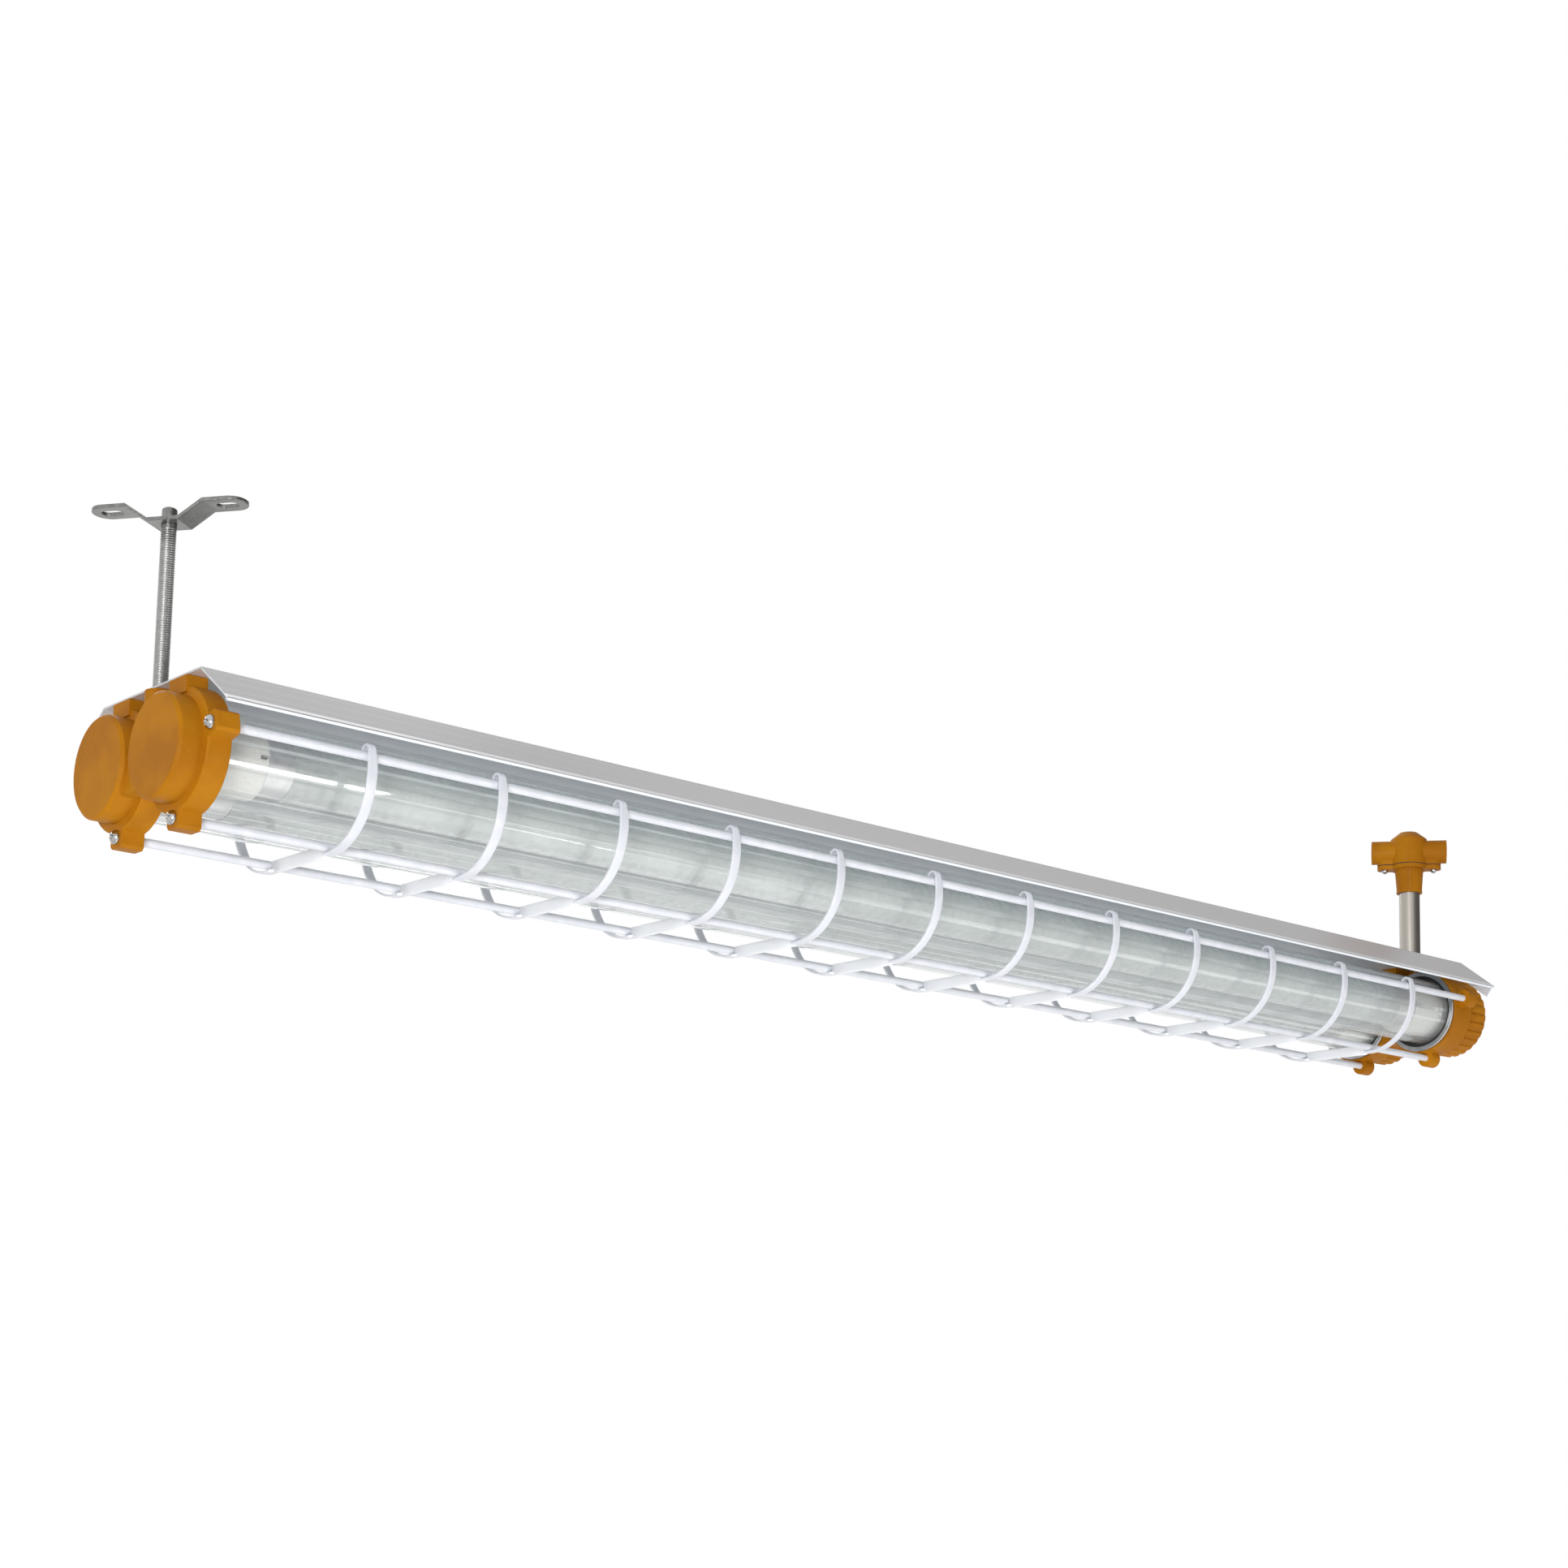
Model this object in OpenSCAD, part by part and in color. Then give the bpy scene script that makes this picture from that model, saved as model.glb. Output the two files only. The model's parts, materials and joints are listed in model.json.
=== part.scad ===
// Twin-tube explosion-proof light fixture, hung from a threaded rod and a conduit pipe.
// The origin is the top of the threaded rod. +X runs along the tubes to the conduit end,
// +Y points to the back tube and +Z is up.

/* [Tubes] */
// Gap between the two glass tubes
tube_gap = 14.4; // [14:0.1:24]
// Height of the hanging point above the tube axes
tube_drop = 165; // [150:1:240]
// Outer diameter of a glass tube
glass_d = 60; // [50:0.5:72]
// Wall of a glass tube
glass_wall = 2.5; // [1.5:0.1:3.5]
// How much longer the glass between the housings is than a lamp
glass_margin = 74.6; // [68:0.1:120]
// Width of the step that a glass end rests against
glass_step = 2; // [1.5:0.1:2.4]
// Diameter of a lamp
lamp_d = 38; // [26:0.5:40]
// Length of a lamp between its cap faces
lamp_len = 1199.4; // [1150:0.1:1210]
// Wall of a lamp's glass
lamp_wall = 1; // [0.8:0.1:1.5]
// Length of a lamp's metal cap
lamp_cap_len = 20; // [10:1:30]
// Distance between a lamp's two pins
pin_pitch = 12.7; // [10:0.1:14]
// Diameter of a lamp pin
pin_d = 2.4; // [1.5:0.1:3]
// Length of a lamp pin
pin_len = 7; // [5:0.5:8]

/* [Left housing] */
// Distance from the rod's axis to the round end faces
left_reach = 22; // [20:0.5:30]
// Wall of a round barrel
barrel_wall = 6; // [4:0.5:7]
// Length of the barrels in front of the flange
barrel_len = 16; // [12:0.5:16]
// Wall of the flange round a glass tube's seal
flange_wall = 6.5; // [5:0.5:7]
// Length of the flange
flange_len = 16; // [15:0.5:20]
// Thickness of a round end face
face_t = 4; // [3:0.5:6]
// Chamfer of the rim of a round end face
rim_chamfer = 2; // [1:0.1:3]
// Diameter of the boss that takes the threaded rod
rod_boss_d = 19; // [16:0.5:19]

/* [Right housing] */
// Wall of the body round a glass tube's seal
body_wall = 5.5; // [4:0.5:7]
// Length of the body
body_len = 26; // [24:0.5:30]
// Wall of the collar that the screw cap runs on
collar_wall = 4.5; // [3:0.5:5]
// Length of that collar
collar_len = 18; // [14:0.5:20]
// Distance from the body's left face to the pipe's axis
pipe_reach = 37.5; // [36:0.5:42]
// Wall of the neck that holds the pipe
neck_wall = 3.6; // [3:0.1:4.5]
// Height of the neck above the reflector
neck_rise = 11; // [6:0.5:16]

/* [Screw caps] */
// Gap between the two screw caps
cap_gap = 0.6; // [0.4:0.1:2]
// Length of a screw cap
cap_len = 26; // [24:0.5:30]
// Thickness of a screw cap's end
cap_end_t = 6; // [4:0.5:7]
// Number of grip notches round a cap
cap_notches = 28; // [16:1:32]
// Diameter of a grip notch
notch_d = 5; // [3:0.1:6]
// Thickness of the thrust washer in a cap
washer_t = 1.6; // [1:0.1:1.8]

/* [Seals and holders] */
// Wall of a seal round a glass end
seal_t = 3.5; // [2.5:0.1:4.5]
// Depth of the bore that holds glass and seal
seal_bore_len = 13; // [10:0.5:14]
// Length of a seal
seal_len = 10; // [6:0.5:12]
// Step from a housing's rim in to the bright ring at its mouth
ring_step = 1.5; // [0.5:0.1:4]
// Thickness of the bright ring
ring_t = 2.6; // [1.5:0.1:4]
// Wiring space round a lampholder
holder_space = 5; // [4.2:0.1:7]
// Diameter of a lampholder's rotor
rotor_d = 28; // [20:0.5:34]
// Thickness of a rotor
rotor_t = 8.6; // [8.5:0.1:10]
// Length of a lampholder's base flange
holder_base_t = 7; // [5:0.5:8]

/* [Guard] */
// Distance from a glass tube out to the middle of its guard rods
guard_space = 13; // [12:0.5:18]
// Angle of the upper guard rods above the tube axis
guard_angle = 12; // [8:0.5:16]
// Diameter of a guard rod
guard_rod_d = 6; // [4:0.5:6]
// Width of a hoop's strip
strip_w = 7; // [5:0.5:9]
// Thickness of a hoop's strip
strip_t = 2; // [1.5:0.1:2.5]
// Width of the hook at a hoop's end
hook_w = 5; // [4:0.5:6]
// Height of the bar that stands between the two lower rods
bar_h = 9; // [6:0.5:10]
// How far a hook stands above its rod
hook_rise = 3.5; // [2:0.5:4]
// Distance from the last hoop to the right housing
hoop_last = 78.5; // [60:0.5:110]
// Distance from the rod's axis to the first hoop
hoop_first = 105.5; // [60:0.5:110]
// Radius of a lug round a guard rod
lug_r = 7.2; // [6.5:0.1:8]
// Radius of a boss on the right housing
boss_r = 8; // [6.5:0.1:8.5]
// Length of a boss on the right housing
boss_len = 12; // [10:0.5:16]
// Distance from the right housing's face to its bosses
boss_inset = 7; // [4:0.5:9]
// Depth of a guard rod's seat
rod_seat = 7; // [5:0.5:7.5]
// Diameter of a lug screw
lug_screw_d = 5; // [3:0.5:6]
// Diameter of a lug screw's domed head
lug_head_d = 9.4; // [8:0.1:10]
// Height of a lug screw's domed head
lug_head_h = 4; // [3:0.1:4.5]

/* [Reflector] */
// Half width of the reflector's flat top
top_half = 64; // [62:0.5:72]
// Height of the reflector over the flanges
pad_rise = 7; // [6:0.5:10]
// How far each sloping side reaches outwards
side_out = 35; // [30:0.5:40]
// How far each sloping side comes down
side_drop = 26; // [22:0.5:28]
// Thickness of the sheet
sheet_t = 1.2; // [0.8:0.1:1.6]
// Depth of the lip at the right end
lip_depth = 12; // [8:0.5:12]
// Diameter of the rolled edge of a sloping side
hem_d = 2.8; // [2:0.1:4]
// Distance from the rod's axis to the reflector's left end
sheet_left = 6.5; // [6.5:0.5:9]
// Distance from the pipe's axis to the reflector's right end
sheet_right = 10; // [9:0.5:12]
// Width of a pad that carries the reflector
pad_w = 22; // [16:0.5:24]
// Length of a pad that carries the reflector
pad_len = 15; // [12:0.5:16]
// Diameter of a reflector screw
sheet_screw_d = 4; // [3:0.5:4]
// Diameter of a reflector screw's head
sheet_head_d = 8; // [6:0.5:9]
// Height of a reflector screw's head
sheet_head_h = 2.6; // [2:0.1:4]

/* [Hanger] */
// Diameter of the threaded rod
rod_d = 10; // [8:0.5:10]
// Diameter of the rod's turned neck inside the bracket
rod_neck_d = 7.8; // [6:0.1:8]
// Height of the rod's head above the bracket's middle
head_len = 7.6; // [6:0.1:8]
// How deep the rod is screwed into its boss
rod_depth = 18; // [14:0.5:20]
// Turn of the bracket against the tubes
bracket_turn = -54.7; // [-90:0.1:90]
// Length of the bracket over its round ends
bracket_len = 107; // [100:0.5:120]
// Width of the bracket's strap
strap_w = 21; // [18:0.5:24]
// Thickness of the bracket's strap
strap_t = 2.5; // [2:0.1:3]
// Length of the bracket's middle plate
middle_len = 21.6; // [20:0.1:26]
// Height of the end plates above the middle plate
strap_rise = 10.5; // [8:0.5:14]
// Length of a flat end plate
plate_len = 27; // [24:0.5:30]
// Length of a slot
slot_len = 14.5; // [12:0.5:16]
// Width of a slot
slot_w = 7.5; // [6:0.1:8]

/* [Conduit] */
// Outer diameter of the conduit pipe
pipe_d = 19.5; // [18:0.1:20]
// Wall of the conduit pipe
pipe_wall = 1.75; // [1.2:0.05:2]
// Turn of the junction box against the tubes
box_turn = -51.7; // [-90:0.1:90]
// Length of the junction box over its two arms
arms_len = 70; // [66:0.5:80]
// Diameter of an arm
arm_d = 22.4; // [21:0.1:24]
// Wall of a conduit entry
entry_wall = 3; // [2.5:0.1:4]
// Depth of a conduit entry
entry_len = 18; // [12:0.5:18]
// Diameter of the junction box body
box_d = 34; // [32:0.5:36]
// Height of the dome over the arms
dome_rise = 8.8; // [6:0.1:12]
// Wall of the junction box body
box_wall = 3; // [2.5:0.1:4]
// Height of the arms over the joint
arm_rise = 1.5; // [1:0.1:4]
// Diameter of an ear of the junction box flange
ear_d = 14; // [11:0.1:16]
// Distance from the junction box body to the axis of a screw
ear_reach = 5.8; // [5:0.1:8]
// Thickness of each half of the flange
ear_t = 4; // [3:0.1:5]
// Thickness of the gasket
gasket_t = 0.8; // [0.6:0.1:1.2]
// Length of the junction box neck
box_neck_len = 23; // [20:0.5:28]
// Wall of the neck at its foot
box_neck_wall = 1.6; // [1.2:0.1:2.4]
// How much wider the neck is at its top
box_neck_flare = 3.6; // [0:0.1:5]
// Diameter of a junction box screw's head
box_head_d = 6.4; // [5:0.1:7]

/* [Hidden] */
$fn = 96;

// Overrun of every cut past the face it opens
over = 1;
// Radial gap round pieces that turn
turn_gap = 0.3;
// Radial gap round the neck that the bracket turns on
pivot_gap = 0.1;
// Gap between pieces that are fixed side by side
fit_gap = 0.2;
// Gap between a seat and the piece that rests on it
seat_gap = 0.3;
// Small chamfer of cast and turned edges
edge = 1;

ochre = [0.72, 0.46, 0.11];
ochre_tee = [0.67, 0.42, 0.12];
bright = [0.82, 0.82, 0.84];
white_coat = [0.94, 0.94, 0.96];
clear_glass = [0.80, 0.88, 0.88, 0.35];
lamp_white = [0.80, 0.85, 0.82];
holder_white = [0.82, 0.82, 0.78];
black_rubber = [0.08, 0.08, 0.08];
brass_tone = [0.75, 0.60, 0.30];

tube_pitch = glass_d + tube_gap;
tube_y = tube_pitch / 2;
sides = [-1, 1];
pocket_d = glass_d - 2 * glass_step;
seal_bore_d = glass_d + 2 * seal_t;
barrel_d = pocket_d + 2 * barrel_wall;
flange_d = seal_bore_d + 2 * flange_wall;
body_d = seal_bore_d + 2 * body_wall;
collar_d = pocket_d + 2 * collar_wall;
cap_d = tube_pitch - cap_gap;
ring_d = body_d - 2 * ring_step;
holder_d = pocket_d - 2 * holder_space;
neck_d = pipe_d + fit_gap + 2 * neck_wall;
top_z = flange_d / 2 + pad_rise;
neck_top = top_z + neck_rise;
guard_r = glass_d / 2 + guard_space;

// Stations along X
glass_show = lamp_len + glass_margin;
left_face = -left_reach;
flange_x0 = left_face + barrel_len;
flange_x1 = flange_x0 + flange_len;
right_x0 = flange_x1 + glass_show;
right_x1 = right_x0 + body_len;
collar_x1 = right_x1 + collar_len;
cap_x0 = right_x1 + edge;
cap_x1 = cap_x0 + cap_len;
pipe_x = right_x0 + pipe_reach;
glass_x0 = flange_x1 - seal_bore_len + edge;
glass_x1 = right_x0 + seal_bore_len - edge;
lamp_x0 = (flange_x1 + right_x0 - lamp_len) / 2;
lamp_x1 = lamp_x0 + lamp_len;
pocket_x0 = left_face + face_t;
seal_x0 = flange_x1 - seal_bore_len;
seal_x1 = right_x0 + seal_bore_len;
sheet_x0 = -sheet_left;
sheet_x1 = pipe_x - sheet_right;
boss_x0 = right_x0 + boss_inset;
left_pad_x0 = -pad_len / 2;
right_pad_x0 = right_x1 - pad_len;
screw_stations = [left_pad_x0 + pad_len / 2, right_pad_x0 + pad_len / 2];
hoop_count = 12;
bar_half = tube_y - guard_rod_d / 2 - fit_gap;
hoop_pitch = (right_x0 - hoop_last - hoop_first) / (hoop_count - 1);

// Guard rod places as [y, z] from the plane of the tube axes: two at the front, two behind
guard_y = tube_y + guard_r * cos(guard_angle);
guard_z = guard_r * sin(guard_angle);
guard_places = [[-guard_y, guard_z], [-tube_y, -guard_r], [tube_y, -guard_r], [guard_y, guard_z]];
guard_tubes = [-tube_y, -tube_y, tube_y, tube_y];
guard_x0 = flange_x1 - rod_seat + seat_gap;
guard_x1 = boss_x0 + rod_seat - seat_gap;

// Solid cylinder along X from x0 to x1 at [y, z] from the tube plane
module bar_x(x0, x1, d, place) {
    translate([x0, place[0], place[1]])
        rotate([0, 90, 0])
            cylinder(d = d, h = x1 - x0);
}

// Cylinder along X whose right or left edge is chamfered by c
module bevel_x(x0, x1, d, place, c, right) {
    body = x1 - x0 - c;
    translate([right ? x0 : x1, place[0], place[1]])
        rotate([0, right ? 90 : -90, 0])
            union() {
                cylinder(d = d, h = body);
                translate([0, 0, body])
                    cylinder(d1 = d, d2 = d - 2 * c, h = c);
            }
}

// Sheet drawn in the YZ plane and made thick along X from x0 to x1
module plate_yz(x0, x1) {
    translate([x0, 0, 0])
        rotate([90, 0, 90])
            linear_extrude(x1 - x0)
                children();
}

module at_tubes() {
    translate([0, 0, -tube_drop])
        children();
}

module at_each_tube() {
    for (side = sides)
        translate([0, side * tube_y, 0])
            children();
}

// Outline of a left lug: a block from its tube out past its guard rod, with its corners cut
module block_outline(i, r) {
    place = guard_places[i];
    reach = place - [guard_tubes[i], 0];
    out = guard_r + r;
    cut = 2 * edge;
    translate([guard_tubes[i], 0])
        rotate(atan2(reach[1], reach[0]))
            polygon([[0, -r], [out - cut, -r], [out, cut - r], [out, r - cut], [out - cut, r], [0, r]]);
}

// Outline of a right boss: a round end round its guard rod and a narrower bar back to its tube
module boss_outline(i, r) {
    place = guard_places[i];
    centre = [guard_tubes[i], 0];
    reach = place - centre;
    turn = atan2(reach[1], reach[0]);
    half = r - edge;
    translate(place)
        circle(r);
    translate(centre)
        rotate(turn)
            translate([0, -half])
                square([guard_r, 2 * half]);
}

// Pad under the reflector, from the housing's round body up to the sheet
module pads(x0) {
    pad_z = top_z - sheet_t - seat_gap;
    for (side = sides)
        translate([x0, side * tube_y - pad_w / 2, pad_z - pad_w / 2])
            cube([pad_len, pad_w, pad_w / 2]);
}

module pad_screw_holes(x0) {
    for (side = sides)
        translate([x0 + pad_len / 2, side * tube_y, flange_d / 2])
            cylinder(d = sheet_screw_d + fit_gap, h = top_z);
}

left_web_half = barrel_d / 3;
rod_foot_z = top_z - sheet_t - seat_gap - rod_depth;

module left_housing() {
    color(ochre)
        at_tubes()
            difference() {
                union() {
                    for (side = sides) {
                        bevel_x(left_face, flange_x0 + edge, barrel_d, [side * tube_y, 0], rim_chamfer, false);
                        bevel_x(flange_x0, flange_x1, flange_d, [side * tube_y, 0], edge, false);
                    }
                    for (i = [0:3])
                        plate_yz(flange_x0, flange_x1)
                            block_outline(i, lug_r);
                    translate([left_face + face_t + edge, -tube_y, -left_web_half])
                        cube([flange_x1 - left_face - face_t - edge, tube_pitch, left_web_half]);
                    translate([flange_x0, -tube_y, -left_web_half])
                        cube([flange_len, tube_pitch, left_web_half + pocket_d / 2]);
                    pads(left_pad_x0);
                    cylinder(d = rod_boss_d, h = top_z - sheet_t - seat_gap);
                }
                at_each_tube() {
                    bar_x(seal_x0, flange_x1 + over, seal_bore_d, [0, 0]);
                    bar_x(pocket_x0, flange_x1, pocket_d, [0, 0]);
                }
                translate([0, 0, rod_foot_z])
                    cylinder(d = rod_d + fit_gap, h = top_z);
                for (place = guard_places) {
                    bar_x(flange_x1 - rod_seat, flange_x1 + over, guard_rod_d + fit_gap, place);
                    bar_x(flange_x0 - over, flange_x1, lug_screw_d + fit_gap, place);
                }
                pad_screw_holes(left_pad_x0);
            }
}

// The neck stands in the valley between the two caps
neck_z = sqrt(pow(cap_d / 2 + edge, 2) - pow(tube_y - neck_d / 2, 2));
right_web_half = body_d / 3;

// Wiring ways: from the pipe's foot to the left, down between the tubes and across to both
duct_d = 8;
shaft_d = duct_d + edge;
cross_d = shaft_d + edge;
duct_z = neck_z + duct_d / 2 + 2 * edge;
duct_x = seal_x1 + cross_d / 2 + edge;
cross_z = pocket_d / 3;
pipe_foot_z = duct_z + duct_d / 2 + edge;

module right_housing() {
    color(ochre)
        at_tubes()
            difference() {
                union() {
                    at_each_tube() {
                        bevel_x(right_x0, right_x1, body_d, [0, 0], edge, true);
                        bevel_x(right_x0, collar_x1, collar_d, [0, 0], edge, true);
                    }
                    for (i = [0:3])
                        plate_yz(boss_x0, boss_x0 + boss_len)
                            boss_outline(i, boss_r);
                    translate([right_x0, -tube_y, -right_web_half])
                        cube([body_len, tube_pitch, right_web_half + duct_z]);
                    pads(right_pad_x0);
                    translate([right_x0 + edge, -rod_boss_d / 2, neck_z])
                        cube([pipe_reach, rod_boss_d, top_z - sheet_t - seat_gap - neck_z]);
                    translate([pipe_x, 0, neck_z])
                        cylinder(d = neck_d, h = neck_top - neck_z);
                }
                at_each_tube() {
                    bar_x(right_x0 - over, seal_x1, seal_bore_d, [0, 0]);
                    bar_x(right_x0, collar_x1 + over, pocket_d, [0, 0]);
                }
                translate([pipe_x, 0, pipe_foot_z])
                    cylinder(d = pipe_d + fit_gap, h = neck_top);
                translate([pipe_x, 0, neck_z + edge])
                    cylinder(d = pipe_d - 2 * pipe_wall, h = pipe_foot_z);
                bar_x(duct_x, pipe_x, duct_d, [0, duct_z]);
                translate([duct_x, 0, cross_z])
                    cylinder(d = shaft_d, h = pipe_foot_z - cross_z);
                translate([duct_x, -tube_y, cross_z])
                    rotate([-90, 0, 0])
                        cylinder(d = cross_d, h = tube_pitch);
                for (place = guard_places)
                    bar_x(boss_x0 - over, boss_x0 + rod_seat, guard_rod_d + fit_gap, place);
                pad_screw_holes(right_pad_x0);
            }
}

cap_bore_d = collar_d + 2 * turn_gap;

// Ribbed screw cap of one tube
module end_cap(side) {
    place = [side * tube_y, 0];
    color(ochre)
        at_tubes()
            difference() {
                bevel_x(cap_x0, cap_x1, cap_d, place, rim_chamfer, true);
                bar_x(cap_x0 - over, cap_x1 - cap_end_t, cap_bore_d, place);
                bar_x(cap_x1 - edge, cap_x1 + over, cap_d / 2, place);
                for (i = [0:cap_notches - 1])
                    translate([0, place[0], place[1]])
                        rotate([i * 360 / cap_notches, 0, 0])
                            bar_x(cap_x0 - over, cap_x1 + over, notch_d, [0, cap_d / 2 + edge]);
            }
}

// Thrust washer between the collar's end and the cap's end
module cap_washer(side) {
    gap = (cap_x1 - cap_end_t - collar_x1 - washer_t) / 2;
    place = [side * tube_y, 0];
    color(black_rubber)
        at_tubes()
            difference() {
                bar_x(collar_x1 + gap, collar_x1 + gap + washer_t, collar_d, place);
                bar_x(collar_x1, cap_x1, pocket_d, place);
            }
}

module glass_tube(side) {
    place = [side * tube_y, 0];
    color(clear_glass)
        at_tubes()
            difference() {
                bar_x(glass_x0, glass_x1, glass_d, place);
                bar_x(glass_x0 - over, glass_x1 + over, glass_d - 2 * glass_wall, place);
            }
}

// Pair of sealing rings round the glass ends of one housing
module glass_seals(x0) {
    color(black_rubber)
        at_tubes()
            at_each_tube()
                difference() {
                    bar_x(x0, x0 + seal_len, seal_bore_d - fit_gap, [0, 0]);
                    bar_x(x0 - over, x0 + seal_len + over, glass_d + fit_gap, [0, 0]);
                }
}

module mouth_rings() {
    color(bright)
        at_tubes()
            at_each_tube()
                difference() {
                    bevel_x(right_x0 - ring_t, right_x0, ring_d, [0, 0], edge / 2, false);
                    bar_x(right_x0 - ring_t - over, right_x0 + over, seal_bore_d, [0, 0]);
                }
}

module lamp_tube(side) {
    color(lamp_white)
        at_tubes()
            difference() {
                bar_x(lamp_x0 + lamp_cap_len, lamp_x1 - lamp_cap_len, lamp_d, [side * tube_y, 0]);
                bar_x(lamp_x0, lamp_x1, lamp_d - 2 * lamp_wall, [side * tube_y, 0]);
            }
}

// Metal caps and pins at both ends of a lamp
module lamp_caps(side) {
    cap_d_in = lamp_d - edge;
    color(bright)
        at_tubes() {
            bevel_x(lamp_x0, lamp_x0 + lamp_cap_len, cap_d_in, [side * tube_y, 0], edge, false);
            bevel_x(lamp_x1 - lamp_cap_len, lamp_x1, cap_d_in, [side * tube_y, 0], edge, true);
            for (pin = sides) {
                place = [side * tube_y, pin * pin_pitch / 2];
                bar_x(lamp_x0 - pin_len, lamp_x0 + edge, pin_d, place);
                bar_x(lamp_x1 - edge, lamp_x1 + pin_len, pin_d, place);
            }
        }
}

holder_gap = 2 * seat_gap;
rotor_pocket = rotor_t + seat_gap;
slot_gap = fit_gap;
slot_t = pin_d + 2 * slot_gap;

// Bar along X between two stations given in either order
module span_x(xa, xb, d, place) {
    bar_x(min(xa, xb), max(xa, xb), d, place);
}

// Lampholder from its base flange in the pocket to its face at the lamp; end is -1 left or 1 right
module lampholder(side, end) {
    face = end < 0 ? lamp_x0 - holder_gap : lamp_x1 + holder_gap;
    base = end < 0 ? pocket_x0 + seat_gap : collar_x1 - seat_gap;
    place = [side * tube_y, 0];
    color(holder_white)
        at_tubes()
            difference() {
                union() {
                    bevel_x(min(face, base), max(face, base), holder_d, place, edge, end < 0);
                    span_x(base, base - end * holder_base_t, pocket_d - 2 * seat_gap, place);
                }
                span_x(face - end * over, face + end * rotor_pocket, rotor_d + 2 * turn_gap, place);
                span_x(base + end * over, base - end * holder_d / 2, rotor_d, place);
                translate([min(face - end * over, face + end * pin_len), place[0], -slot_t / 2])
                    translate([0, side < 0 ? -holder_d : 0, 0])
                        cube([pin_len + over, holder_d, slot_t]);
            }
}

// Slotted rotors that turn with a lamp's pins, one in each lampholder
module lamp_rotors(side) {
    slot_h = pin_pitch + pin_d + 2 * slot_gap;
    color(black_rubber)
        at_tubes()
            for (end = sides) {
                face = end < 0 ? lamp_x0 - holder_gap - rotor_t : lamp_x1 + holder_gap;
                difference() {
                    bar_x(face, face + rotor_t, rotor_d, [side * tube_y, 0]);
                    translate([end < 0 ? face + rotor_t - pin_len : face - over,
                        side * tube_y - slot_t / 2, -slot_h / 2])
                        cube([pin_len + over, slot_t, slot_h]);
                }
            }
}

// Folded section of the reflector: the outline moved inwards by depth from the outer face
side_slope = atan(side_drop / side_out);
function fold_point(depth) = [top_half - depth * tan(side_slope / 2), top_z - depth];
function edge_point(depth) = [
    top_half + side_out - depth * sin(side_slope),
    top_z - side_drop - depth * cos(side_slope)
];

module section_band(depth) {
    half = [edge_point(0), fold_point(0)];
    inner = [fold_point(depth), edge_point(depth)];
    mirror_y = [for (p = concat(half, inner)) [-p[0], p[1]]];
    polygon([
        half[0], half[1], mirror_y[1], mirror_y[0],
        mirror_y[3], mirror_y[2], inner[0], inner[1]
    ]);
}

pad_notch = pad_w + 2 * edge;
neck_notch_d = neck_d + 2 * edge;

module reflector() {
    hem_at = edge_point(hem_d / 2);
    color(bright)
        at_tubes()
            difference() {
                union() {
                    plate_yz(sheet_x0, sheet_x1)
                        section_band(sheet_t);
                    difference() {
                        plate_yz(sheet_x1 - sheet_t, sheet_x1)
                            section_band(lip_depth);
                        for (y = [-tube_y, 0, tube_y])
                            translate([sheet_x1 - sheet_t - over, y - pad_notch / 2, -lip_depth])
                                cube([sheet_t + 2 * over, pad_notch, top_z + lip_depth - sheet_t]);
                    }
                    for (side = sides)
                        bar_x(sheet_x0, sheet_x1, hem_d, [side * hem_at[0], hem_at[1]]);
                }
                translate([0, 0, top_z - over - sheet_t])
                    cylinder(d = rod_d + fit_gap, h = sheet_t + 2 * over);
                translate([pipe_x, 0, 0])
                    cylinder(d = neck_notch_d, h = top_z + over);
                for (x = screw_stations, side = sides)
                    translate([x, side * tube_y, top_z - over - sheet_t])
                        cylinder(d = sheet_screw_d + fit_gap, h = sheet_t + 2 * over);
            }
}

// Domed screw with its head above z = 0 and its shank below
module dome_screw(d, head_d, head_h, length) {
    r = (pow(head_d / 2, 2) + pow(head_h, 2)) / (2 * head_h);
    translate([0, 0, -length])
        cylinder(d = d, h = length + edge / 2);
    intersection() {
        translate([0, 0, head_h - r])
            sphere(r);
        cylinder(d = head_d, h = head_h + over);
    }
}

module reflector_screws() {
    color(bright)
        at_tubes()
            for (x = screw_stations, side = sides)
                translate([x, side * tube_y, top_z + fit_gap / 2])
                    dome_screw(sheet_screw_d, sheet_head_d, sheet_head_h, top_z - flange_d / 2 - edge);
}

module guard_rod(i) {
    color(white_coat)
        at_tubes()
            bar_x(guard_x0, guard_x1, guard_rod_d, guard_places[i]);
}

hoop_in = guard_r + guard_rod_d / 2 + fit_gap;
hook_in = guard_rod_d / 2 + fit_gap;
flat_z = -hoop_in - strip_t;

// Quarter hoop round the back tube, from below the lower rod up to the upper rod
module hoop_curve() {
    reach = hoop_in + 2 * strip_t;
    foot = -guard_rod_d;
    translate([tube_y, 0])
        intersection() {
            difference() {
                circle(hoop_in + strip_t);
                circle(hoop_in);
            }
            polygon([
                [foot, -reach], [reach, -reach], [reach, 0],
                [reach * cos(guard_angle), reach * sin(guard_angle)], [0, 0], [foot, 0]
            ]);
        }
}

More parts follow.
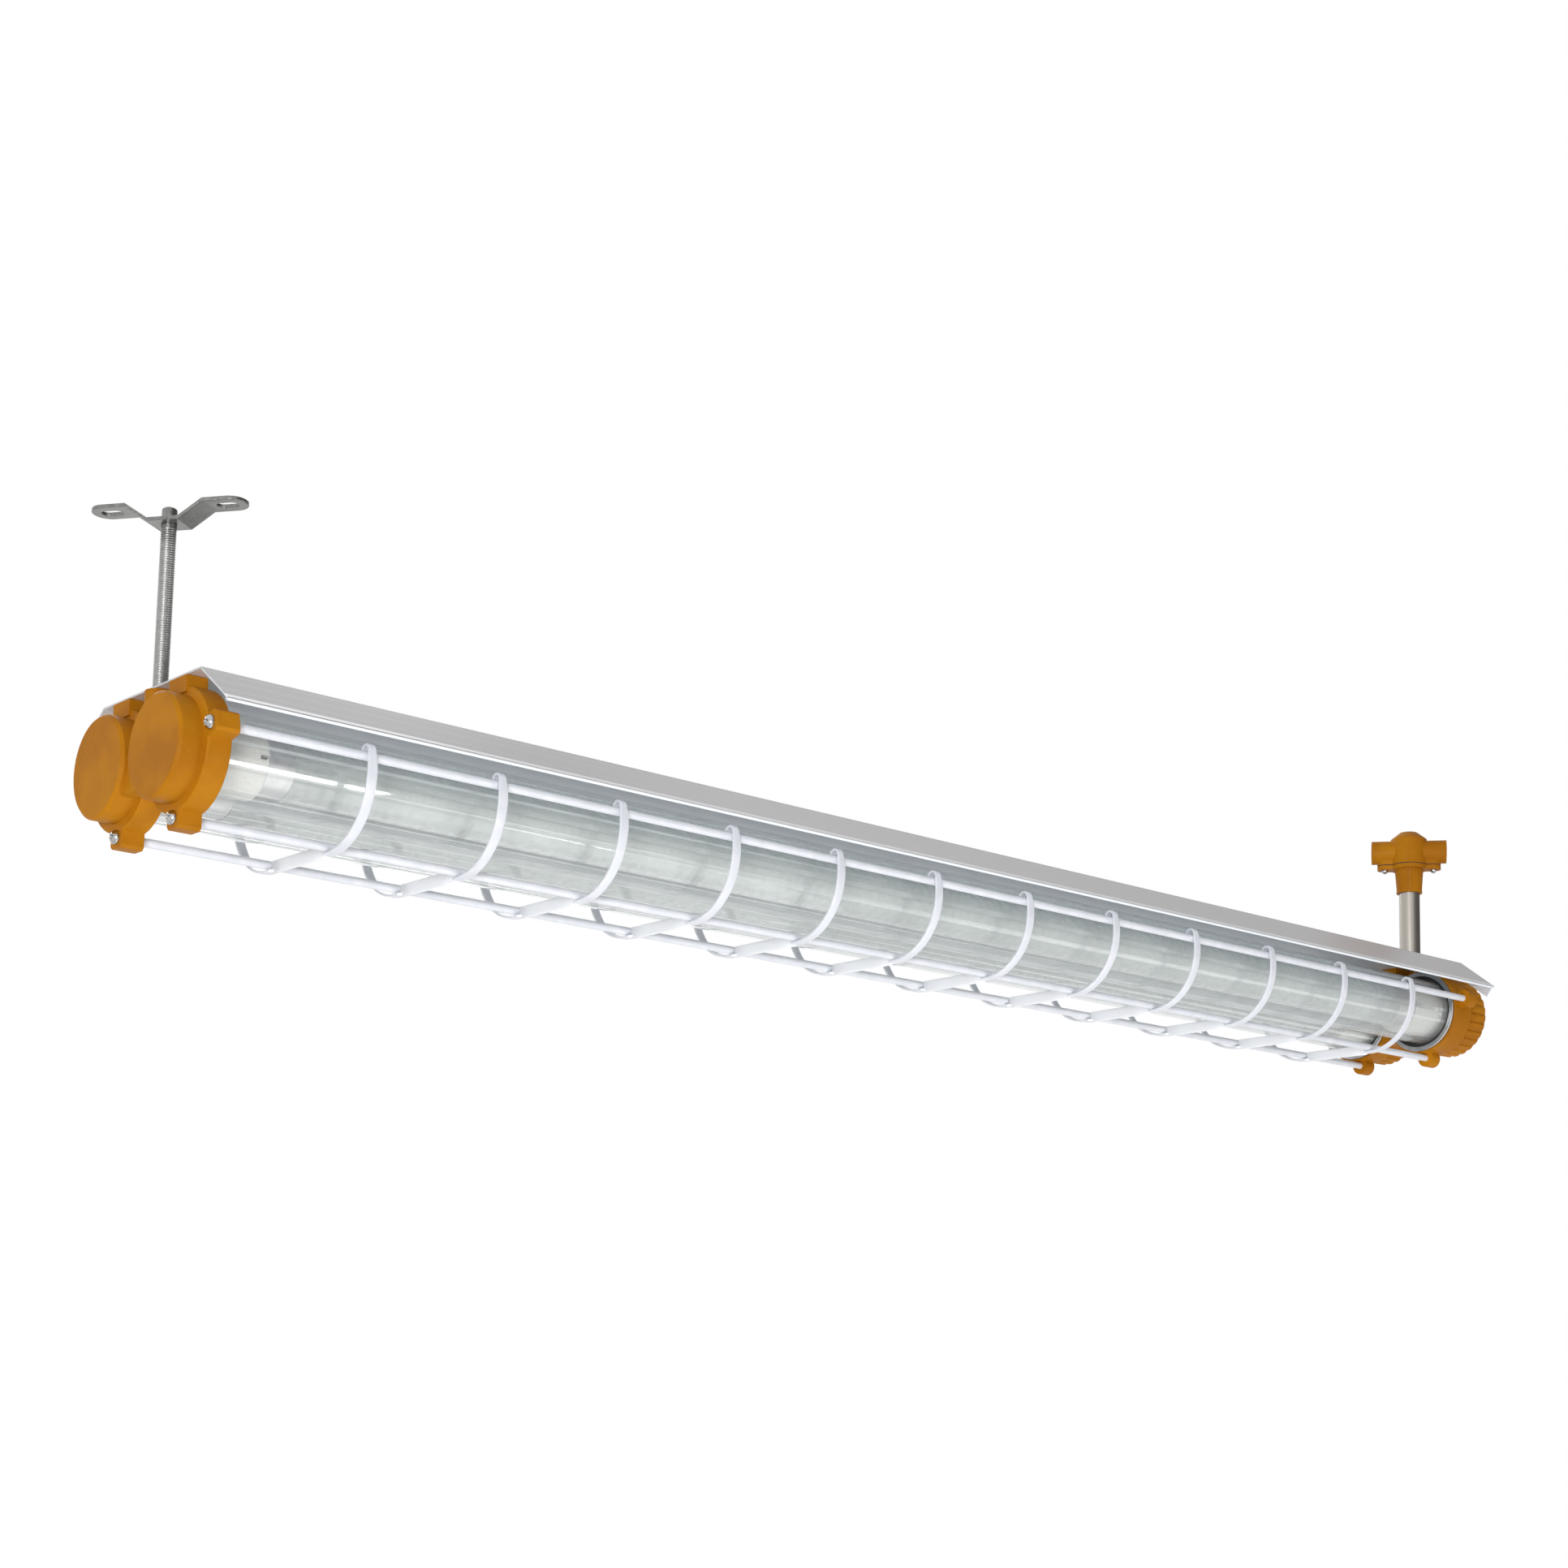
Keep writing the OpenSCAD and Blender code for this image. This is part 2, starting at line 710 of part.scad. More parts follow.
// Hook over the back upper rod, drawn with the rod's radius from the tube along X
module hoop_hook() {
    translate([tube_y, 0])
        rotate(guard_angle) {
            translate([hoop_in, -fit_gap])
                square([strip_t, hook_rise + fit_gap]);
            translate([guard_r, hook_rise])
                intersection() {
                    difference() {
                        circle(hook_in + strip_t);
                        circle(hook_in);
                    }
                    translate([-hook_in - strip_t, 0])
                        square([2 * (hook_in + strip_t), hook_in + strip_t]);
                }
            translate([guard_r - hook_in - strip_t, 0])
                square([strip_t, hook_rise]);
        }
}

module both_halves() {
    children();
    mirror([1, 0])
        children();
}

module guard_hoop(n) {
    x = hoop_first + (n - 1) * hoop_pitch;
    color(white_coat)
        at_tubes() {
            plate_yz(x - strip_w / 2, x + strip_w / 2)
                both_halves() {
                    hoop_curve();
                    translate([-tube_y - guard_rod_d, flat_z - strip_t / 2])
                        square([2 * guard_rod_d, strip_t]);
                }
            plate_yz(x - strip_t / 2, x + strip_t / 2)
                translate([-bar_half, flat_z - strip_t / 2])
                    square([2 * bar_half, bar_h]);
            plate_yz(x - hook_w / 2, x + hook_w / 2)
                both_halves()
                    hoop_hook();
        }
}

module guard_rod_screws() {
    color(bright)
        at_tubes()
            for (place = guard_places)
                translate([flange_x0 - fit_gap / 2, place[0], place[1]])
                    rotate([0, -90, 0])
                        dome_screw(lug_screw_d, lug_head_d, lug_head_h, flange_len - rod_seat - edge);
}

middle_z = -head_len - strap_t / 2;

// Threaded rod with a neck that the bracket turns on and a round head over it
module hanger_rod() {
    foot = -tube_drop + rod_foot_z + seat_gap;
    shoulder = middle_z - strap_t / 2 - fit_gap;
    color(bright)
        union() {
            translate([0, 0, foot])
                cylinder(d = rod_d, h = shoulder - foot);
            translate([0, 0, shoulder - edge])
                cylinder(d = rod_neck_d, h = edge - shoulder);
            rotate([180, 0, 0])
                cylinder(d = rod_d, h = head_len - fit_gap);
            cylinder(d1 = rod_d, d2 = rod_d - 2 * edge, h = edge);
        }
}

plate_z = middle_z + strap_rise;
slot_x = bracket_len / 2 - plate_len / 2;

// Side view of the bracket's bent strap, its lower line at z and its upper line strap_t higher
module strap_side() {
    ends = bracket_len / 2;
    bend = ends - plate_len;
    flat = middle_len / 2;
    lower = [
        [-ends, plate_z], [-bend, plate_z], [-flat, middle_z],
        [flat, middle_z], [bend, plate_z], [ends, plate_z]
    ];
    upper = [for (i = [len(lower) - 1:-1:0]) lower[i] + [0, strap_t]];
    translate([0, -strap_t / 2])
        polygon(concat(lower, upper));
}

// Plan of a slot or strap with round ends, length over the ends
module round_ended(length, width) {
    square([length - width, width], center = true);
    for (side = sides)
        translate([side * (length - width) / 2, 0])
            circle(d = width);
}

module hanger_bracket() {
    color([0.62, 0.62, 0.62])
        rotate(bracket_turn)
            difference() {
                intersection() {
                    translate([0, strap_w / 2 + over, 0])
                        rotate([90, 0, 0])
                            linear_extrude(strap_w + 2 * over)
                                strap_side();
                    translate([0, 0, -tube_drop])
                        linear_extrude(2 * tube_drop)
                            round_ended(bracket_len, strap_w);
                }
                translate([0, 0, middle_z - strap_t])
                    cylinder(d = rod_neck_d + 2 * pivot_gap, h = 2 * strap_t);
                for (side = sides)
                    translate([side * slot_x, 0, plate_z - strap_t])
                        linear_extrude(2 * strap_t)
                            round_ended(slot_len, slot_w);
            }
}

// Heights of the junction box: its arms' axis is level with the top of the hanging rod
axis_h = arm_d / 2 + arm_rise;
joint_z = -axis_h;
base_z = joint_z - gasket_t;
pipe_top_z = base_z - 2 * ear_t;

module at_pipe() {
    translate([pipe_x, 0, 0])
        children();
}

module conduit_pipe() {
    foot = -tube_drop + pipe_foot_z + seat_gap;
    color([0.80, 0.77, 0.72])
        at_pipe()
            translate([0, 0, foot])
                difference() {
                    cylinder(d = pipe_d, h = pipe_top_z - foot);
                    translate([0, 0, -over])
                        cylinder(d = pipe_d - 2 * pipe_wall, h = pipe_top_z - foot + 2 * over);
                }
}

box_screw_pitch = box_d + 2 * ear_reach;
entry_d = arm_d - 2 * entry_wall;
box_neck_foot_d = pipe_d + 2 * turn_gap + 2 * box_neck_wall;
box_neck_top_d = box_neck_foot_d + box_neck_flare;

module ears_outline() {
    circle(d = box_d);
    for (side = sides)
        translate([side * box_screw_pitch / 2, 0])
            circle(d = ear_d);
    square([box_screw_pitch, ear_d], center = true);
}

box_screw_d = box_head_d / 2;
cavity_d = box_d - 2 * box_wall;

module screw_holes(d, h) {
    for (side = sides)
        translate([side * box_screw_pitch / 2, 0, 0])
            cylinder(d = d, h = h);
}

module junction_box_body() {
    shoulder = arm_d / 2 + edge;
    top_d = box_d / 2;
    peak = dome_rise - 2 * edge;
    color(ochre_tee)
        at_pipe()
            rotate(box_turn)
                difference() {
                    union() {
                        translate([0, 0, shoulder])
                            rotate([180, 0, 0])
                                cylinder(d = box_d, h = axis_h + shoulder);
                        translate([0, 0, shoulder])
                            cylinder(d1 = box_d, d2 = top_d, h = peak);
                        translate([0, 0, shoulder + peak])
                            cylinder(d1 = top_d, d2 = top_d / 2, h = edge);
                        rotate([0, 90, 0])
                            cylinder(d = arm_d, h = arms_len, center = true);
                        translate([0, 0, joint_z])
                            linear_extrude(ear_t)
                                ears_outline();
                    }
                    translate([0, 0, joint_z - over])
                        cylinder(d = cavity_d, h = axis_h + shoulder + over - edge);
                    for (side = [0, 180])
                        rotate([0, 90, side]) {
                            translate([0, 0, arms_len / 2 - entry_len])
                                cylinder(d = entry_d, h = entry_len + over);
                            cylinder(d = entry_d - 2 * edge, h = arms_len / 2);
                        }
                    translate([0, 0, joint_z - over])
                        screw_holes(box_screw_d + fit_gap, ear_t - edge + over);
                }
}

module junction_box_gasket() {
    color(black_rubber)
        at_pipe()
            rotate(box_turn)
                translate([0, 0, base_z + fit_gap / 2])
                    difference() {
                        linear_extrude(gasket_t - fit_gap)
                            ears_outline();
                        translate([0, 0, -over])
                            cylinder(d = cavity_d, h = gasket_t + 2 * over);
                        translate([0, 0, -over])
                            screw_holes(box_screw_d + fit_gap, gasket_t + 2 * over);
                    }
}

rib_w = 2 * edge;
wire_way_d = pipe_d - 2 * pipe_wall - edge;

module junction_box_base() {
    neck_z0 = base_z - ear_t - box_neck_len;
    color(ochre_tee)
        at_pipe()
            rotate(box_turn)
                difference() {
                    union() {
                        translate([0, 0, base_z - ear_t])
                            linear_extrude(ear_t)
                                ears_outline();
                        translate([0, 0, neck_z0])
                            cylinder(d1 = box_neck_foot_d, d2 = box_neck_top_d, h = box_neck_len + edge);
                        translate([0, 0, neck_z0])
                            cylinder(d = box_neck_foot_d + edge, h = 2 * edge);
                        translate([-rib_w / 2, -box_neck_top_d / 2 - edge / 2, neck_z0 + 2 * edge])
                            cube([rib_w, box_neck_top_d / 4, box_neck_len - edge]);
                    }
                    translate([0, 0, neck_z0 - over])
                        cylinder(d = pipe_d + 2 * turn_gap, h = pipe_top_z + turn_gap - neck_z0 + over);
                    translate([0, 0, pipe_top_z])
                        cylinder(d = wire_way_d, h = box_d);
                    translate([0, 0, base_z - ear_t - over])
                        screw_holes(box_screw_d + fit_gap, ear_t + 2 * over);
                }
}

module junction_box_screws() {
    color(bright)
        at_pipe()
            rotate(box_turn)
                for (side = sides)
                    translate([side * box_screw_pitch / 2, 0, base_z - ear_t - fit_gap / 2])
                        rotate([180, 0, 0])
                            dome_screw(box_screw_d, box_head_d, box_screw_d, 2 * ear_t - edge);
}

block_len = cavity_d - 6 * edge;
block_w = cavity_d / 3;
block_h = cavity_d / 4;

// Ceramic terminal block with brass screws, standing on the base across the wire way
module terminal_block() {
    at_pipe()
        rotate(box_turn)
            translate([0, 0, base_z + seat_gap]) {
                color(holder_white)
                    translate([-block_len / 2, -block_w / 2, 0])
                        cube([block_len, block_w, block_h]);
                color(brass_tone)
                    for (i = [-1:1])
                        translate([i * block_len / 3, 0, block_h])
                            cylinder(d = block_w / 2, h = edge);
            }
}

wire_d = 3.2;
wire_gap = 0.4;

// Bent wire through a list of places, with a ball at each corner
module wire(points) {
    for (i = [0:len(points) - 2]) {
        step = points[i + 1] - points[i];
        length = norm(step);
        translate(points[i])
            rotate([0, acos(step[2] / length), atan2(step[1], step[0])])
                cylinder(d = wire_d, h = length, $fn = 32);
    }
    for (i = [1:len(points) - 2])
        translate(points[i])
            sphere(d = wire_d + wire_gap / 4, $fn = 32);
}

// Two feeds down the pipe, one to the lampholder of each tube
module supply_wires() {
    lane_x = pipe_x + pipe_d / 4;
    lane = (wire_d + wire_gap) / 2;
    end_r = (holder_d + pocket_d) / 4;
    end_y = tube_y - sqrt(pow(end_r, 2) - pow(cross_z, 2));
    color(black_rubber)
        at_tubes()
            for (side = sides)
                wire([
                    [lane_x, side * lane, base_z + tube_drop],
                    [lane_x, side * lane, duct_z],
                    [duct_x, side * lane, duct_z],
                    [duct_x, side * lane, cross_z],
                    [duct_x, side * end_y, cross_z]
                ]);
}

left_housing();
right_housing();
end_cap(-1);  // front_end_cap
end_cap(1);  // back_end_cap
cap_washer(-1);  // front_cap_washer
cap_washer(1);  // back_cap_washer
glass_tube(-1);  // front_glass_tube
glass_tube(1);  // back_glass_tube
glass_seals(flange_x1 - seal_len - fit_gap);  // left_glass_seals
glass_seals(right_x0 + fit_gap);  // right_glass_seals
mouth_rings();
lamp_tube(-1);  // front_lamp_tube
lamp_caps(-1);  // front_lamp_caps
lamp_tube(1);  // back_lamp_tube
lamp_caps(1);  // back_lamp_caps
lampholder(-1, -1);  // front_left_lampholder
lampholder(-1, 1);  // front_right_lampholder
lampholder(1, -1);  // back_left_lampholder
lampholder(1, 1);  // back_right_lampholder
lamp_rotors(-1);  // front_lamp_rotors
lamp_rotors(1);  // back_lamp_rotors
reflector();
reflector_screws();
guard_rod(0);  // front_upper_guard_rod
guard_rod(1);  // front_lower_guard_rod
guard_rod(2);  // back_lower_guard_rod
guard_rod(3);  // back_upper_guard_rod
guard_hoop(1);  // guard_hoop_1
guard_hoop(2);  // guard_hoop_2
guard_hoop(3);  // guard_hoop_3
guard_hoop(4);  // guard_hoop_4
guard_hoop(5);  // guard_hoop_5
guard_hoop(6);  // guard_hoop_6
guard_hoop(7);  // guard_hoop_7
guard_hoop(8);  // guard_hoop_8
guard_hoop(9);  // guard_hoop_9
guard_hoop(10);  // guard_hoop_10
guard_hoop(11);  // guard_hoop_11
guard_hoop(12);  // guard_hoop_12
guard_rod_screws();
hanger_rod();
hanger_bracket();
conduit_pipe();
junction_box_body();
junction_box_base();
junction_box_gasket();
junction_box_screws();
terminal_block();
supply_wires();
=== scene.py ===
import json
import math

import bmesh
import bpy
import numpy as np
from mathutils import Matrix, Vector


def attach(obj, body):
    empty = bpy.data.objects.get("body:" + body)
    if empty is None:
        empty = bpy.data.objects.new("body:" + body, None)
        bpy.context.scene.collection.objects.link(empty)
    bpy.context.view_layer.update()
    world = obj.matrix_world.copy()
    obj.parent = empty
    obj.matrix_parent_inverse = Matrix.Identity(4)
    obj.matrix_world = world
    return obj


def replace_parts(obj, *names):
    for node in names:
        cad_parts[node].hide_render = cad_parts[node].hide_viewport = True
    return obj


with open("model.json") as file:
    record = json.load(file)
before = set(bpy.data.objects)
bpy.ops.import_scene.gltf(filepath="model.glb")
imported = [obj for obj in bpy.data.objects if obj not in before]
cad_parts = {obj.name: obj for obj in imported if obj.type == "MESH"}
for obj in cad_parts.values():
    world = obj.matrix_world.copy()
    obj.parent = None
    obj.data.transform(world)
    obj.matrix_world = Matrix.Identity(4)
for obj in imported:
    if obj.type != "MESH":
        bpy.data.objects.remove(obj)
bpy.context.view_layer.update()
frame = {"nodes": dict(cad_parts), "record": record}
mm = 0.001
print("frame loaded")

# the camera, the world and the stage come first

cameraView = {
    "place": (-0.7459, -1.4638, -0.5861),  # metres
    "yaw": 41.03,  # degrees, from +Y towards +X
    "pitch": 7.75,  # degrees, upward
    "roll": 1.167,  # degrees
    "lens": 59.84,  # millimetres, as the sensor is
    "sensor": 36,
    "shiftUp": 0.2,
    "farthest": 200,  # metres
}


def makeCamera(view):
    # looks along yaw and pitch, and is then turned by roll about that line
    yaw, pitch, roll = (math.radians(view[turn]) for turn in ("yaw", "pitch", "roll"))
    level = Vector((math.cos(yaw), -math.sin(yaw), 0))
    ahead = Vector((math.sin(yaw) * math.cos(pitch), math.cos(yaw) * math.cos(pitch), math.sin(pitch)))
    above = level.cross(ahead)
    right = math.cos(roll) * level + math.sin(roll) * above
    up = math.cos(roll) * above - math.sin(roll) * level
    data = bpy.data.cameras.new("photoCamera")
    data.lens = view["lens"]
    data.sensor_width = view["sensor"]
    data.shift_y = view["shiftUp"]
    data.clip_end = view["farthest"]
    camera = bpy.data.objects.new("photoCamera", data)
    turn = Matrix((right, up, -ahead)).transposed().to_4x4()
    camera.matrix_world = Matrix.Translation(view["place"]) @ turn
    bpy.context.scene.collection.objects.link(camera)
    bpy.context.scene.camera = camera


makeCamera(cameraView)


class Field:
    # one socket of a node tree; an expression on it adds Math nodes
    def __init__(self, graph, socket):
        self.graph, self.socket = graph, socket

    def maths(self, operation, *others):
        values = dict(enumerate((self, *others)))
        return self.graph.field("ShaderNodeMath", {"operation": operation}, values)

    def __add__(self, other):
        return self.maths("ADD", other)

    def __radd__(self, other):
        return self + other

    def __mul__(self, other):
        return self.maths("MULTIPLY", other)

    def __rmul__(self, other):
        return self * other

    def __sub__(self, other):
        return self.maths("SUBTRACT", other)

    def __rsub__(self, other):
        return self * -1 + other

    def __pow__(self, other):
        return self.maths("POWER", other)

    def __abs__(self):
        return self.maths("ABSOLUTE")

    def step(self, low, high):
        # smooth rise from 0 at low to 1 at high
        limits = {"Value": self, "From Min": low, "From Max": high}
        return self.graph.field("ShaderNodeMapRange", {"interpolation_type": "SMOOTHSTEP"}, limits)

    def above(self, least, more):
        # least where this is 0, and least plus more where it is 1
        return least + more * self

    def clamp(self):
        return self.graph.field("ShaderNodeClamp", {}, {0: self})


colourMix = {"factor": 0, "first": 6, "second": 7, "result": 2}  # the Mix node's sockets for colours


class Graph:
    # a node tree; node() adds any node, and the rest are short forms of it
    def __init__(self, tree):
        self.tree = tree
        tree.nodes.clear()

    def node(self, kind, settings=None, inputs=None):
        made = self.tree.nodes.new(kind)
        for key, value in (settings or {}).items():
            setattr(made, key, value)
        for key, value in (inputs or {}).items():
            if isinstance(value, Field):
                self.tree.links.new(value.socket, made.inputs[key])
            else:
                made.inputs[key].default_value = value
        return made

    def field(self, kind, settings=None, inputs=None, output=0):
        return Field(self, self.node(kind, settings, inputs).outputs[output])

    def vector(self, operation, values, output=0):
        return self.field("ShaderNodeVectorMath", {"operation": operation}, values, output)

    def place(self):
        return self.field("ShaderNodeTexCoord", output="Object")

    def axes(self, vector):
        parts = self.node("ShaderNodeSeparateXYZ", {}, {0: vector})
        return [Field(self, parts.outputs[axis]) for axis in range(3)]

    def stretched(self, scale, centre=(0, 0, 0)):
        # object position, centred and then scaled along each axis
        moved = self.vector("SUBTRACT", {0: self.place(), 1: centre})
        return self.vector("MULTIPLY", {0: moved, 1: scale})

    def noise(self, scale, detail, roughness=0.5, at=None):
        values = {"Scale": scale, "Detail": detail, "Roughness": roughness}
        values["Vector"] = at or self.place()
        return self.field("ShaderNodeTexNoise", {}, values, "Fac")

    def blend(self, factor, first, second):
        # colour that goes from first to second as factor goes from 0 to 1
        values = {colourMix["factor"]: factor}
        for key, tone in (("first", first), ("second", second)):
            values[colourMix[key]] = (*tone, 1) if isinstance(tone, tuple) else tone
        return self.field("ShaderNodeMix", {"data_type": "RGBA"}, values, colourMix["result"])

    def bump(self, height, strength, depth):
        # depth is in millimetres
        values = {"Height": height, "Strength": strength, "Distance": depth * mm}
        return self.field("ShaderNodeBump", {}, values)


studio = {
    "floorHeight": -1.25,  # metres, far below the hanging object
    "floorSize": 120.0,
    "floorTone": (0.86, 0.86, 0.86, 1),
    "floorMiddle": (0.65, 0, 0),  # below the object's middle
    "shadowFade": (1.2, 3.0),  # radii between which the shadow on the floor fades
    "floorGlow": 0.55,  # share of plain white inside the smaller radius
    "skyLevel": 0.50,
    "darkTowards": (0.754, -0.640, 0.15),  # the sky is darkest this way
    "darkEdge": (0.25, 0.85),  # cosines of the angle from that way, between which it darkens
    "darkMirror": 0.85,  # share of its light that it loses there in mirrors
    "darkSoft": 0.3,  # share that it loses there as soft light
}


def seenAsBackground(graph):
    # each is 1 for its own kind of ray: camera, mirror and see-through
    path = graph.node("ShaderNodeLightPath")
    rays = ("Is Camera Ray", "Is Glossy Ray", "Is Transmission Ray")
    return [Field(graph, path.outputs[ray]) for ray in rays]


def makeWorld():
    # white to the camera; a soft sky that darkens smoothly to one side for all other rays
    world = bpy.data.worlds.new("studioSky")
    world.use_nodes = True
    bpy.context.scene.world = world
    graph = Graph(world.node_tree)
    camera, glossy, through = seenAsBackground(graph)
    way = graph.field("ShaderNodeTexCoord", output="Generated")
    towards = Vector(studio["darkTowards"]).normalized()
    side = graph.vector("DOT_PRODUCT", {0: way, 1: tuple(towards)}, "Value")
    dark = side.step(*studio["darkEdge"])
    mirror = 1 - dark * studio["darkMirror"]
    soft = (1 - dark * studio["darkSoft"]) * studio["skyLevel"]
    seen = (camera + through).clamp()
    level = seen + (1 - seen) * (glossy * mirror + (1 - glossy) * soft)
    back = graph.field("ShaderNodeBackground", {}, {"Color": (1, 1, 1, 1), "Strength": level})
    graph.node("ShaderNodeOutputWorld", {}, {"Surface": back})


def makeFloor():
    # pale floor far below the hanging object, white beyond the reach of its shadow
    half = studio["floorSize"] / 2
    mesh = bpy.data.meshes.new("floor")
    corners = [(-half, -half), (half, -half), (half, half), (-half, half)]
    mesh.from_pydata([(x, y, studio["floorHeight"]) for x, y in corners], [], [(0, 1, 2, 3)])
    floor = bpy.data.objects.new("floor", mesh)
    bpy.context.scene.collection.objects.link(floor)
    material = bpy.data.materials.new("paleFloor")
    material.use_nodes = True
    graph = Graph(material.node_tree)
    camera, glossy, through = seenAsBackground(graph)
    flat = graph.stretched((1, 1, 0), studio["floorMiddle"])
    far = graph.vector("LENGTH", {0: flat}, "Value").step(*studio["shadowFade"])
    lit = far.above(studio["floorGlow"], 1 - studio["floorGlow"])
    white = lit * (camera + glossy + through).clamp()
    matt = graph.field("ShaderNodeBsdfDiffuse", {}, {"Color": studio["floorTone"]})
    glow = graph.field("ShaderNodeEmission", {}, {"Strength": 1.0})
    mixed = graph.field("ShaderNodeMixShader", {}, {0: white, 1: matt, 2: glow})
    graph.node("ShaderNodeOutputMaterial", {}, {"Surface": mixed})
    mesh.materials.append(material)


lampAim = (0.6, 0, -0.15)  # metres, the point that every lamp faces

lamps = {
    "keyLight": {"place": (-2.6, -2.4, -0.7), "size": (1.1, 1.1), "power": 72},
    "lowFill": {"place": (0.6, -0.3, -1.15), "size": (1.6, 1.6), "power": 8},
    "farRim": {"place": (1.2, 2.2, 1.4), "size": (1.6, 1.6), "power": 24},
    "wideStrip": {"place": (0.93, -1.56, -0.66), "size": (0.26, 0.30), "power": 2.3},
    "thinStrip": {"place": (0.88, -0.73, -0.74), "size": (0.14, 0.02), "power": 0.11},
}


def makeLights():
    # area lamps; the two small ones draw the bright lines along the glass
    for name, lamp in lamps.items():
        data = bpy.data.lights.new(name, "AREA")
        data.energy = lamp["power"]
        data.shape = "RECTANGLE"
        data.size, data.size_y = lamp["size"]
        light = bpy.data.objects.new(name, data)
        turn = (Vector(lampAim) - Vector(lamp["place"])).to_track_quat("-Z", "Y")
        light.matrix_world = Matrix.Translation(lamp["place"]) @ turn.to_matrix().to_4x4()
        bpy.context.scene.collection.objects.link(light)


makeWorld()
makeFloor()
makeLights()
bpy.context.scene.view_settings.view_transform = "Standard"
print("camera, world and lights made")

# finishes: a noise is written as its scale, detail and roughness, an edge as the two values between
# which a pattern rises, a shader's roughness as its least value and how much the pattern adds, and a
# bump as its strength and its depth in millimetres


def finish(name, build):
    # a material whose build function returns the Principled shader's own values and links
    material = bpy.data.materials.new(name)
    material.use_nodes = True
    graph = Graph(material.node_tree)
    shader = graph.field("ShaderNodeBsdfPrincipled", {}, build(graph))
    graph.node("ShaderNodeOutputMaterial", {}, {"Surface": shader})
    return material


ochre = {
    "body": (0.485, 0.190, 0.006), "deep": (0.390, 0.140, 0.004), "pale": (0.545, 0.240, 0.020),
    "cloud": (22.0, 3.0), "cloudEdge": (0.35, 0.65),
    "grain": (520.0, 4.0, 0.6), "grainEdge": (0.55, 0.8), "grainShare": 0.5,
    "roughness": (0.44, 0.14), "bump": (0.25, 0.12),
    "specular": 0.08, "coat": 0.02, "coatRoughness": 0.2,
}


def ochrePaint(graph):
    # enamel on a casting: broad clouds of tone, fine sand grain in colour and bump, uneven gloss
    cloud = graph.noise(*ochre["cloud"])
    grain = graph.noise(*ochre["grain"])
    tone = graph.blend(cloud.step(*ochre["cloudEdge"]), ochre["deep"], ochre["body"])
    sand = grain.step(*ochre["grainEdge"]) * ochre["grainShare"]
    return {
        "Base Color": graph.blend(sand, tone, ochre["pale"]),
        "Roughness": cloud.above(*ochre["roughness"]),
        "Specular IOR Level": ochre["specular"],
        "Coat Weight": ochre["coat"],
        "Coat Roughness": ochre["coatRoughness"],
        "Normal": graph.bump(grain, *ochre["bump"]),
    }


guardCoat = {
    # the bar tone is painted light: a whiter copy of the coat for the shaded cross bars
    "shade": (0.74, 0.76, 0.81), "coat": (0.80, 0.81, 0.86), "bar": (0.94, 0.955, 0.99),
    "run": (90.0, 2.0), "runEdge": (0.4, 0.7),
    "barTop": (-0.205, -0.196), "barEnd": (0.0335, 0.0345),  # metres, on Z and on Y
    "roughness": (0.26, 0.1), "bump": (0.1, 0.2),
}


def guardPaint(graph):
    # white coat with a faint blue cast and soft runs; the cross bars low in the middle are painted
    # whiter, a painted highlight for light that they get too little of
    run = graph.noise(*guardCoat["run"])
    across, height = graph.axes(graph.place())[1:]
    # painted highlight: the cross bars, low and between the two lower rods, take the whiter tone
    low = 1 - height.step(*guardCoat["barTop"])
    bar = low * (1 - abs(across).step(*guardCoat["barEnd"]))
    coat = graph.blend(run.step(*guardCoat["runEdge"]), guardCoat["shade"], guardCoat["coat"])
    return {
        "Base Color": graph.blend(bar, coat, guardCoat["bar"]),
        "Roughness": run.above(*guardCoat["roughness"]),
        "Normal": graph.bump(run, *guardCoat["bump"]),
    }


sheetMetal = {
    # the under tone is blue-grey and painted paler than the outer one, to make up for the shade
    # underneath
    "outer": (0.62, 0.605, 0.61), "under": (0.88, 0.92, 0.97), "outsideEdge": (-0.05, 0.05),
    # painted shade on the outer slopes towards the left end: its tone and its span along X
    "dull": (0.36, 0.35, 0.355), "dullAlong": (0, 0.42), "flatEdge": (0.85, 0.95),
    # painted shade on the flat top
    "top": (0.20, 0.20, 0.21), "topHeight": (-0.122, -0.117), "topShare": 0.15,  # heights in metres
    # pale streaks along X: brushed grain, and underneath, where they are stronger, painted reflections
    # of the tubes
    "streakTone": (0.80, 0.83, 0.88), "streak": (1.0, 3.0, 0.55), "stretch": (0.4, 150.0, 150.0),
    "streakEdge": (0.45, 0.75), "streakOver": 0.15, "streakUnder": 0.65,
    # painted highlight along the hem
    "hem": (0.90, 0.90, 0.92), "hemFoot": (-0.1446, -0.1443), "hemTop": (-0.1422, -0.1416),
    "metallic": 0.15, "roughness": (0.34, 0.12), "bump": (0.08, 0.15),
}


